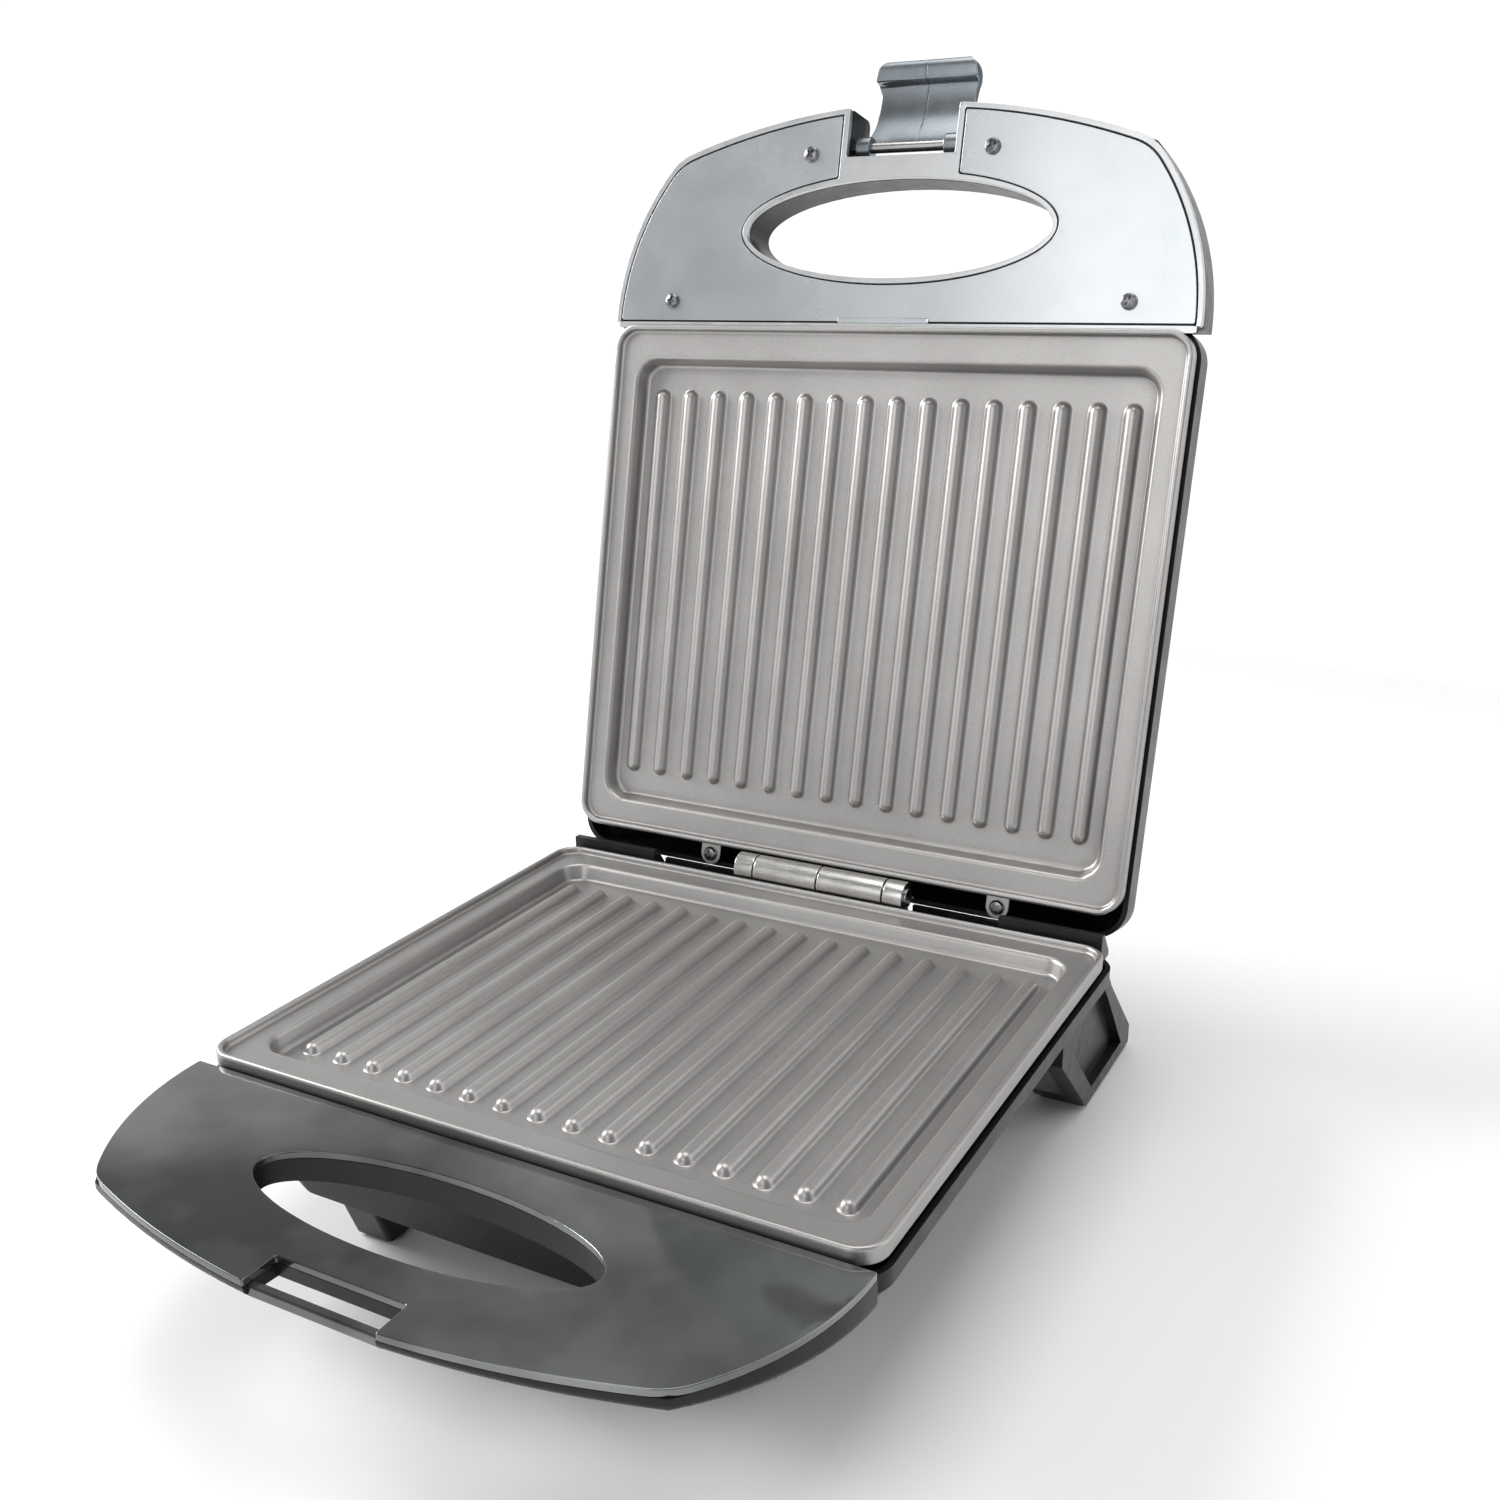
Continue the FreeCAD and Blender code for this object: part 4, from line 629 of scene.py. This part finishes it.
# The plate's section as (inset, level): the cavity's wall with its two fillets, the raised lip with its
# rounded top and outer edge, and the pan under the floor.
WALL_SECTION = ((2.9, 1.30), (2.4, 1.62), (2.08, 2.1), (1.86, 2.8), (0.85, 5.8), (0.68, 6.35),
                (0.40, 6.9), (-0.02, 7.35), (-0.55, 7.62), (-1.2, LAND))
LIP_SECTION = ((3.5, LAND), (2.95, 7.82), (2.6, 8.15), (2.42, 8.75), (2.3, 9.45), (2.05, 9.95),
               (1.62, 10.24), (1.15, LIP), (0.75, 10.27), (0.3, 10.0), (0.05, 9.5), (0.0, 8.9),
               (0.0, 5.2), (0.15, 4.8), (0.5, FLANGE_LOW), (7.0, FLANGE_LOW))
PAN_SECTION = ((-2.5, FLANGE_LOW), (-2.5, PAN_LOW + 1.0), (-1.5, PAN_LOW))


def rib_height(distance):
    """Height of a rib above the floor at a distance from its centre line, with a root fillet."""
    edge = RIB_SINK + math.sqrt(RIB_RADIUS ** 2 - ROOT_START ** 2)
    slope = -ROOT_START / math.sqrt(RIB_RADIUS ** 2 - ROOT_START ** 2)
    crown = RIB_SINK + np.sqrt(np.clip(RIB_RADIUS ** 2 - distance ** 2, 0, None))
    span = ROOT_END - ROOT_START
    t = np.clip((distance - ROOT_START) / span, 0, 1)
    blend = (2 * t ** 3 - 3 * t ** 2 + 1) * edge + (t ** 3 - 2 * t ** 2 + t) * span * slope
    return np.where(distance <= ROOT_START, crown, np.where(distance < ROOT_END, blend, 0.0))


def plate_grid_lines():
    """The floor's grid lines, close together across each rib and round its ends."""
    xs = set()
    for rib in range(RIB_COUNT):
        centre = -RIB_ROW_HALF + rib * RIB_PITCH
        xs.update(round(centre + sign * step, 4) for step in RIB_STEPS for sign in (-1, 1))
    edge = CAVITY_HALF - FLOOR_INSET
    xs = {x for x in xs if abs(x) < edge - 1.0}
    xs.update((edge, -edge, SIDE_LINE, -SIDE_LINE))
    ys = set()
    for end, inward in ((-RIB_LENGTH, 1), (0.0, -1)):
        ys.update(round(end + inward * (RIB_RADIUS - step), 4) for step in RIB_STEPS[1:11])
        ys.update(round(end + inward * value, 4) for value in (3.0, 3.6, 4.5))
    ys.update(np.round(np.linspace(-RIB_LENGTH + 12, -12, 16), 4))
    radius = CAVITY_CORNER - FLOOR_INSET
    for corner, outward in ((FRONT_LINE, -1), (REAR_LINE, 1)):
        ys.update(round(corner + outward * radius * share, 4) for share in (0, 0.2, 0.4, 0.6, 0.8, 1.0))
    return np.array(sorted(xs)), np.array(sorted(ys))


def plate_mesh(name):
    """One cast plate as a single skin: ribbed floor, filleted wall, land, raised lip and underside."""
    xs, ys = plate_grid_lines()
    radius = CAVITY_CORNER - FLOOR_INSET
    grid_x, grid_y = np.meshgrid(xs, ys, indexing="ij")
    centres = -RIB_ROW_HALF + RIB_PITCH * np.arange(RIB_COUNT)
    across = np.abs(grid_x[..., None] - centres).min(-1)
    along = np.maximum(0, np.maximum(grid_y - (-RIB_RADIUS), (-RIB_LENGTH + RIB_RADIUS) - grid_y))
    heights = FLOOR + rib_height(np.hypot(across, along))
    a = (np.abs(grid_x) - SIDE_LINE) / radius
    b = np.where(grid_y > MIDDLE, grid_y - REAR_LINE, FRONT_LINE - grid_y) / radius
    corner = (a > 0) & (b > 0)
    a_in, b_in = np.clip(a, 0, 1), np.clip(b, 0, 1)
    new_a = a_in * np.sqrt(1 - b_in ** 2 / 2)
    new_b = b_in * np.sqrt(1 - a_in ** 2 / 2)
    grid_x = np.where(corner, np.sign(grid_x) * (SIDE_LINE + new_a * radius), grid_x)
    moved_y = np.where(grid_y > MIDDLE, REAR_LINE + new_b * radius, FRONT_LINE - new_b * radius)
    grid_y = np.where(corner, moved_y, grid_y)
    columns, rows = grid_x.shape
    vertices = np.stack([grid_x, grid_y, heights], -1).reshape(-1, 3).tolist()
    faces = []
    for i in range(columns - 1):
        for j in range(rows - 1):
            first = i * rows + j
            faces.append((first, first + rows, first + rows + 1, first + 1))
    border = ([i * rows for i in range(columns)]
              + [(columns - 1) * rows + j for j in range(1, rows)]
              + [i * rows + rows - 1 for i in range(columns - 2, -1, -1)]
              + [j for j in range(rows - 2, 0, -1)])
    edge = np.array([vertices[index][:2] for index in border])

    def outline(half, front, rear, corner_radius):
        """The floor's border carried out to another rounded rectangle, point for point."""
        x, y = edge[:, 0], edge[:, 1]
        new_x = np.empty_like(x)
        new_y = np.empty_like(y)
        for index in range(len(edge)):
            px, py = x[index], y[index]
            dx = abs(px) - SIDE_LINE
            dy = py - REAR_LINE if py > MIDDLE else FRONT_LINE - py
            cx = half - corner_radius
            cy = rear - corner_radius if py > MIDDLE else front + corner_radius
            out = 1 if py > MIDDLE else -1
            if dx > 1e-6 and dy > 1e-6:
                length = math.hypot(dx, dy)
                new_x[index] = math.copysign(cx + corner_radius * dx / length, px)
                new_y[index] = cy + out * corner_radius * dy / length
            elif dx > 1e-6 and abs(dx - radius) < 1e-3:
                span = (py - FRONT_LINE) / (REAR_LINE - FRONT_LINE)
                new_x[index] = math.copysign(half, px)
                new_y[index] = front + corner_radius + span * (rear - front - 2 * corner_radius)
            else:
                new_x[index] = px / SIDE_LINE * cx
                new_y[index] = rear if out > 0 else front
        return np.stack([new_x, new_y], -1)

    def cavity(inset):
        return outline(CAVITY_HALF - inset, CAVITY_FRONT + inset, CAVITY_REAR - inset,
                       CAVITY_CORNER - inset)

    def rim(inset):
        return outline(PLATE_HALF - inset, PLATE_FRONT + inset, PLATE_REAR - inset,
                       PLATE_CORNER - inset)

    rings = [(cavity(inset), level) for inset, level in WALL_SECTION]
    rings += [(rim(inset), level) for inset, level in LIP_SECTION]
    rings += [(cavity(inset), level) for inset, level in PAN_SECTION]
    previous = border
    for points, level in rings:
        start = len(vertices)
        vertices.extend([px, py, level] for px, py in points)
        current = list(range(start, start + len(points)))
        for index in range(len(points)):
            following = (index + 1) % len(points)
            faces.append((previous[index], previous[following], current[following], current[index]))
        previous = current
    faces.append(tuple(previous))
    return mesh_from(name, vertices, faces)


PLATE_SHARP = 62.0      # the cast plates have no crisp edge; only steeper turns stay sharp
for side, place in (("base", BASE), ("lid", LID)):
    add_piece(f"{side}_grill_plate_cast", plate_mesh(f"{side}_plate"), place, side, PLATE,
              [f"{side}_grill_plate"], sharp=PLATE_SHARP)


# ------------------------------------------------------------------ handle panels and frame

CAP_NOTCH_BACK, CAP_LOW, CAP_TOP, CAP_EDGE = -261.0, 4.1, 6.5, 0.35
CAP_HOLE_HALF, CAP_HOLE_DEEP = 60.5, 19.3
FRAME_NOTCH_BACK, FRAME_LOW, FRAME_TOP = -255.4, 5.2, 8.7
RECESS_FLOOR = 6.0                          # the level of the frame's recess, under the panel
FRAME_HOLE_HALF, FRAME_HOLE_DEEP = 64.0, 18.8
BORDER, BRIDGE_HALF, RING_HALF, RING_DEEP = 1.9, 25.0, 66.0, 20.8
PANEL_GAP, PANEL_LOW, PANEL_TOP = 0.6, 6.3, 8.65
MARK_HALF, MARK_BACK, MARK_FRONT, MARK_LOW, MARK_TOP = 19.3, -192.3, -194.4, 8.3, 9.05
OVERLAP = 0.05                              # hides the seam where the frame's two slabs meet


def ellipse_hole(half, deep):
    """A whole ellipse round the finger hole's centre, without a repeated point."""
    return ellipse_points(half, deep, HOLE_CENTRE)[:-1]


base_panel = flat_mesh("base_panel", [handle_outline(0.0, NOTCH_HALF, CAP_NOTCH_BACK),
                                      ellipse_hole(CAP_HOLE_HALF, CAP_HOLE_DEEP)],
                       CAP_LOW, CAP_TOP, CAP_EDGE)
add_piece("base_handle_cap", base_panel, BASE, "base", SHADED_BASE_PANEL,
          ["base_handle_panel"])


def recess_outline(gap):
    """The C-shaped field inside the lid handle's frame, round the hole's ring and the bridge."""
    inset = BORDER + gap
    back = HANDLE_BACK + 2.0 - gap * 5.0
    bridge_half, ring_half, ring_deep = BRIDGE_HALF + gap, RING_HALF + gap, RING_DEEP + gap
    back_path, left, front, right = handle_sides(inset, back)
    before, after, edge_y = split_nose(front, bridge_half)
    start = -math.acos(bridge_half / ring_half)
    ring = ellipse_points(ring_half, ring_deep, HOLE_CENTRE, math.pi - start, start, 150)
    inner_left = line_points((-bridge_half, edge_y), ring[0], 3.0)
    inner_right = line_points(ring[-1], (bridge_half, edge_y), 3.0)
    outline = join_paths([back_path, left, before, inner_left, ring, inner_right, after, right])
    return round_corners(outline, corner_reach)


frame_top = flat_mesh("frame_top", [handle_outline(0.0, NOTCH_HALF, FRAME_NOTCH_BACK),
                                    recess_outline(0.0),
                                    ellipse_hole(FRAME_HOLE_HALF, FRAME_HOLE_DEEP)],
                      RECESS_FLOOR, FRAME_TOP, 0.25)
frame_slab = flat_mesh("frame_slab", [handle_outline(OVERLAP, NOTCH_HALF + OVERLAP,
                                                     FRAME_NOTCH_BACK + OVERLAP),
                                      ellipse_hole(FRAME_HOLE_HALF + OVERLAP,
                                                   FRAME_HOLE_DEEP + OVERLAP)],
                       FRAME_LOW, RECESS_FLOOR + 0.15, 0.1, 1)
add_piece("lid_handle_bezel", joined("bezel", [frame_top, frame_slab]), LID, "lid", SILVER,
          ["lid_handle_frame"])

panel = flat_mesh("lid_panel", [recess_outline(PANEL_GAP)], PANEL_LOW, PANEL_TOP, 0.2)
mark_corners = [(MARK_HALF, MARK_BACK), (-MARK_HALF, MARK_BACK), (-MARK_HALF, MARK_FRONT),
                (MARK_HALF, MARK_FRONT)]
mark_sides = [line_points(mark_corners[side], mark_corners[(side + 1) % 4], 1.5) for side in range(4)]
mark = flat_mesh("mark", [round_corners(join_paths(mark_sides), lambda x, y: 0.6)],
                 MARK_LOW, MARK_TOP, 0.2, 2, 1.0)
add_piece("lid_handle_face", joined("face", [panel, mark]), LID, "lid", LID_PANEL,
          ["lid_handle_panel"])


# ------------------------------------------------------------------ clip

CLIP_PIN = (-260.5, 0.0)
CLIP_HALF, KNUCKLE_WIDTH, KNUCKLE_RADIUS, KNUCKLE_BORE = 21.4, 6.0, 4.3, 2.05
CLIP_EDGE, SEAM_HALF, SEAM_DEPTH, KNUCKLE_EDGE = 0.4, 0.35, 0.22, 0.6
ARC = (0.0, 0.52, 1.05, math.pi / 2)        # a quarter turn in three steps

# The arm's section in (Y, Z) from the pin: the inside of the bow, the thick lip, and back outside.
ARM_SECTION = [
    (1.2, -3.2), (-1.6, -2.9), (-5.0, -6.6), (-11.0, -10.8), (-18.5, -13.2), (-26.0, -13.6),
    (-27.4, -12.2), (-27.6, -9.4), (-29.6, -8.9), (-33.4, -8.8), (-35.4, -10.2), (-35.8, -12.6),
    (-34.4, -15.0), (-29.0, -16.6), (-21.5, -16.7), (-13.5, -15.2), (-6.0, -10.9), (0.2, -5.2)]


def cut_corners(points, times):
    """A closed outline with its corners cut off again and again, until it is smooth."""
    data = np.array(points, float)
    for _ in range(times):
        after = np.roll(data, -1, axis=0)
        data = np.stack([data * 0.75 + after * 0.25, data * 0.25 + after * 0.75], 1).reshape(-1, 2)
    return data


def smooth_step(value, start, end):
    """0 up to start, 1 from end on, and a smooth rise between them."""
    t = np.clip((value - start) / (end - start), 0, 1)
    return t * t * (3 - 2 * t)


def clip_arm(name):
    """The clip's bowed arm with its thick lip: one section carried across, narrowed and rounded."""
    profile = turned_left(cut_corners(ARM_SECTION, 3), True)
    reach = -profile[:, 0]
    waist = 1.5 * smooth_step(reach, 0.0, 12.0) - 1.2 * smooth_step(reach, 23.0, 27.5)
    rounding = 5.5 * (1 - np.sqrt(1 - np.clip((reach - 29.0) / 7.0, 0, 0.97) ** 2))
    half = CLIP_HALF - waist - rounding
    inner = half - CLIP_EDGE
    sides = [(CLIP_EDGE * (1 - math.cos(a)) - half, CLIP_EDGE * (1 - math.sin(a))) for a in ARC]
    sides += [(inner * share, 0.0) for share in (-0.8, -0.6, -0.4, -0.2, -0.05)]
    centre = np.zeros_like(half)
    seam = [(centre - SEAM_HALF, 0.0), (centre, SEAM_DEPTH), (centre + SEAM_HALF, 0.0)]
    rings = sides + seam + [(-across, inset) for across, inset in reversed(sides)]
    vertices, faces = [], []
    count = len(profile)
    for across, inset in rings:
        moved = offset_outline(profile, inset)
        vertices.extend((x, CLIP_PIN[0] + y, CLIP_PIN[1] + z) for x, (y, z) in zip(across, moved))
    for ring in range(len(rings) - 1):
        for here in range(count):
            after = (here + 1) % count
            start = ring * count
            faces.append((start + here, start + after, start + count + after, start + count + here))
    last = (len(rings) - 1) * count
    flat = [Vector((x, y, 0.0)) for x, y in offset_outline(profile, CLIP_EDGE)]
    for triangle in tessellate_polygon([flat]):
        faces.append(tuple(triangle))
        faces.append(tuple(last + index for index in reversed(triangle)))
    return mesh_from(name, vertices, faces)


def knuckle_mesh(name, start, end, segments=40):
    """A short tube round the clip's pin, its outer edges rounded."""
    arc = [(KNUCKLE_EDGE * (1 - math.cos(a)), KNUCKLE_RADIUS - KNUCKLE_EDGE * (1 - math.sin(a)))
           for a in ARC]
    profile = [(start, KNUCKLE_BORE)] + [(start + along, radius) for along, radius in arc]
    profile += [(end - along, radius) for along, radius in reversed(arc)] + [(end, KNUCKLE_BORE)]
    vertices, faces = [], []
    for segment in range(segments):
        angle = 2 * math.pi * segment / segments
        y_share, z_share = math.cos(angle), math.sin(angle)
        vertices.extend((x, CLIP_PIN[0] + radius * y_share, CLIP_PIN[1] + radius * z_share)
                        for x, radius in profile)
    count = len(profile)
    for segment in range(segments):
        following = (segment + 1) % segments
        for here in range(count):
            after = (here + 1) % count
            faces.append((segment * count + here, following * count + here, following * count + after,
                          segment * count + after))
    return mesh_from(name, vertices, faces)


hook = joined("hook", [clip_arm("arm"),
                       knuckle_mesh("knuckle_a", -CLIP_HALF, -CLIP_HALF + KNUCKLE_WIDTH),
                       knuckle_mesh("knuckle_b", CLIP_HALF - KNUCKLE_WIDTH, CLIP_HALF)])
add_piece("latch_hook", hook, LID, "latch", CLIP, ["latch_clip"])


# ------------------------------------------------------------------ edges of the carried-over pieces

for node_name, width in (("base_housing", 0.8), ("lid_housing", 0.8), ("rear_leg_left", 0.9),
                         ("rear_leg_right", 0.9), ("front_foot_left", 0.8), ("front_foot_right", 0.8),
                         ("base_catch_bar", 0.3), ("base_hinge_leaf", 0.4),
                         ("lid_hinge_leaf", 0.4), ("base_plate_tabs", 0.2), ("lid_plate_tabs", 0.2),
                         ("base_bottom_cover", 0.4), ("cord_gland", 0.5), ("lamp_lenses", 0.8)):
    soften(node_name, width)


# ------------------------------------------------------------------ floor, light and camera

FLOOR_RADIUS, FLOOR_SIDES = 0.85, 96
turns = [math.tau * step / FLOOR_SIDES for step in range(FLOOR_SIDES)]
floor_edge = [(FLOOR_RADIUS * math.cos(turn), FLOOR_RADIUS * math.sin(turn), 0.0) for turn in turns]
floor_mesh = bpy.data.meshes.new("floor")
floor_mesh.from_pydata(floor_edge, [], [tuple(range(FLOOR_SIDES))])
floor = bpy.data.objects.new("floor", floor_mesh)
bpy.context.scene.collection.objects.link(floor)
floor_material, floor_tree, floor_shader = node_material("floor_white")
floor_coords = floor_tree.nodes.new("ShaderNodeTexCoord").outputs["Object"]
pale = colours(floor_tree, noise(floor_tree, floor_coords, 3.0), (0.86, 0.86, 0.86), (0.88, 0.88, 0.88))
floor_tree.links.new(pale, floor_shader.inputs["Base Color"])
floor_shader.inputs["Roughness"].default_value = 0.9
floor_mesh.materials.append(floor_material)


def add_light(name, place, target, width, power):
    """A soft square light, width in metres and power in watts, that looks at its target."""
    data = bpy.data.lights.new(name, "AREA")
    data.shape = "SQUARE"
    data.size = width
    data.energy = power
    item = bpy.data.objects.new(name, data)
    item.location = place
    item.rotation_mode = "QUATERNION"
    item.rotation_quaternion = (Vector(target) - Vector(place)).to_track_quat("-Z", "Y")
    bpy.context.scene.collection.objects.link(item)


add_light("key", (-1.5, -0.3, 1.0), (0.0, 0.05, 0.15), 0.8, 33.0)
add_light("top", (0.0, 0.15, 1.7), (0.0, 0.0, 0.0), 1.2, 14.0)
add_light("front", (-0.1, -1.9, 1.1), (0.0, 0.1, 0.25), 1.3, 11.0)
add_light("rim", (1.2, 0.5, 0.9), (0.0, 0.0, 0.15), 1.2, 5.0)


def combined(tree, operation, first, second):
    """The result of an operation on two numbers."""
    node = tree.nodes.new("ShaderNodeMath")
    node.operation = operation
    tree.links.new(first, node.inputs[0])
    tree.links.new(second, node.inputs[1])
    return node.outputs["Value"]


# A pale studio: bright behind the press and below the horizon, half as bright in front and dim
# overhead.
FRONT_SHARE, BACK_SHARE, OVERHEAD_SHARE = 0.55, 1.05, 0.40
world = bpy.data.worlds.new("studio")
world.use_nodes = True
world_tree = world.node_tree
direction = world_tree.nodes.new("ShaderNodeTexCoord").outputs["Generated"]
parts = world_tree.nodes.new("ShaderNodeSeparateXYZ")
world_tree.links.new(direction, parts.inputs["Vector"])
behind = spread(world_tree, parts.outputs["Y"], FRONT_SHARE, BACK_SHARE, -0.1, 0.25)
overhead = spread(world_tree, parts.outputs["Z"], 1.0, OVERHEAD_SHARE, 0.20, 0.60)
below = spread(world_tree, parts.outputs["Z"], 1.0, 0.0, 0.0, 0.12)
strength = combined(world_tree, "MAXIMUM", combined(world_tree, "MULTIPLY", behind, overhead), below)
background = world_tree.nodes["Background"]
background.inputs["Color"].default_value = (1.0, 1.0, 1.0, 1.0)
world_tree.links.new(strength, background.inputs["Strength"])
bpy.context.scene.world = world
bpy.context.scene.view_settings.view_transform = "Standard"

# The camera stands to the right of the handles and looks down at the open press.
AZIMUTH, ELEVATION, ROLL = math.radians(29.689), math.radians(20.025), math.radians(-1.040)
CAMERA_LOCAL = Vector((258.91, -513.5, 260.24))
FOCAL_LENGTH, FILM_WIDTH, SHIFT_X, SHIFT_Y = 37.76, 36.0, 0.0257, 0.0454
right = Vector((math.cos(AZIMUTH), math.sin(AZIMUTH), 0.0))
back = Vector((math.sin(AZIMUTH) * math.cos(ELEVATION), -math.cos(AZIMUTH) * math.cos(ELEVATION),
               math.sin(ELEVATION)))
up = back.cross(right)
camera_right = right * math.cos(ROLL) + up * math.sin(ROLL)
camera_up = up * math.cos(ROLL) - right * math.sin(ROLL)
camera_data = bpy.data.cameras.new("camera")
camera_data.lens = FOCAL_LENGTH
camera_data.sensor_width = FILM_WIDTH
camera_data.shift_x = SHIFT_X
camera_data.shift_y = SHIFT_Y
camera_data.clip_start = 0.05
camera_data.clip_end = 30.0
camera = bpy.data.objects.new("camera", camera_data)
camera.matrix_world = (Matrix.Translation(BASE @ CAMERA_LOCAL)
                       @ Matrix((camera_right, camera_up, back)).transposed().to_4x4())
bpy.context.scene.collection.objects.link(camera)
bpy.context.scene.camera = camera

bpy.context.view_layer.update()
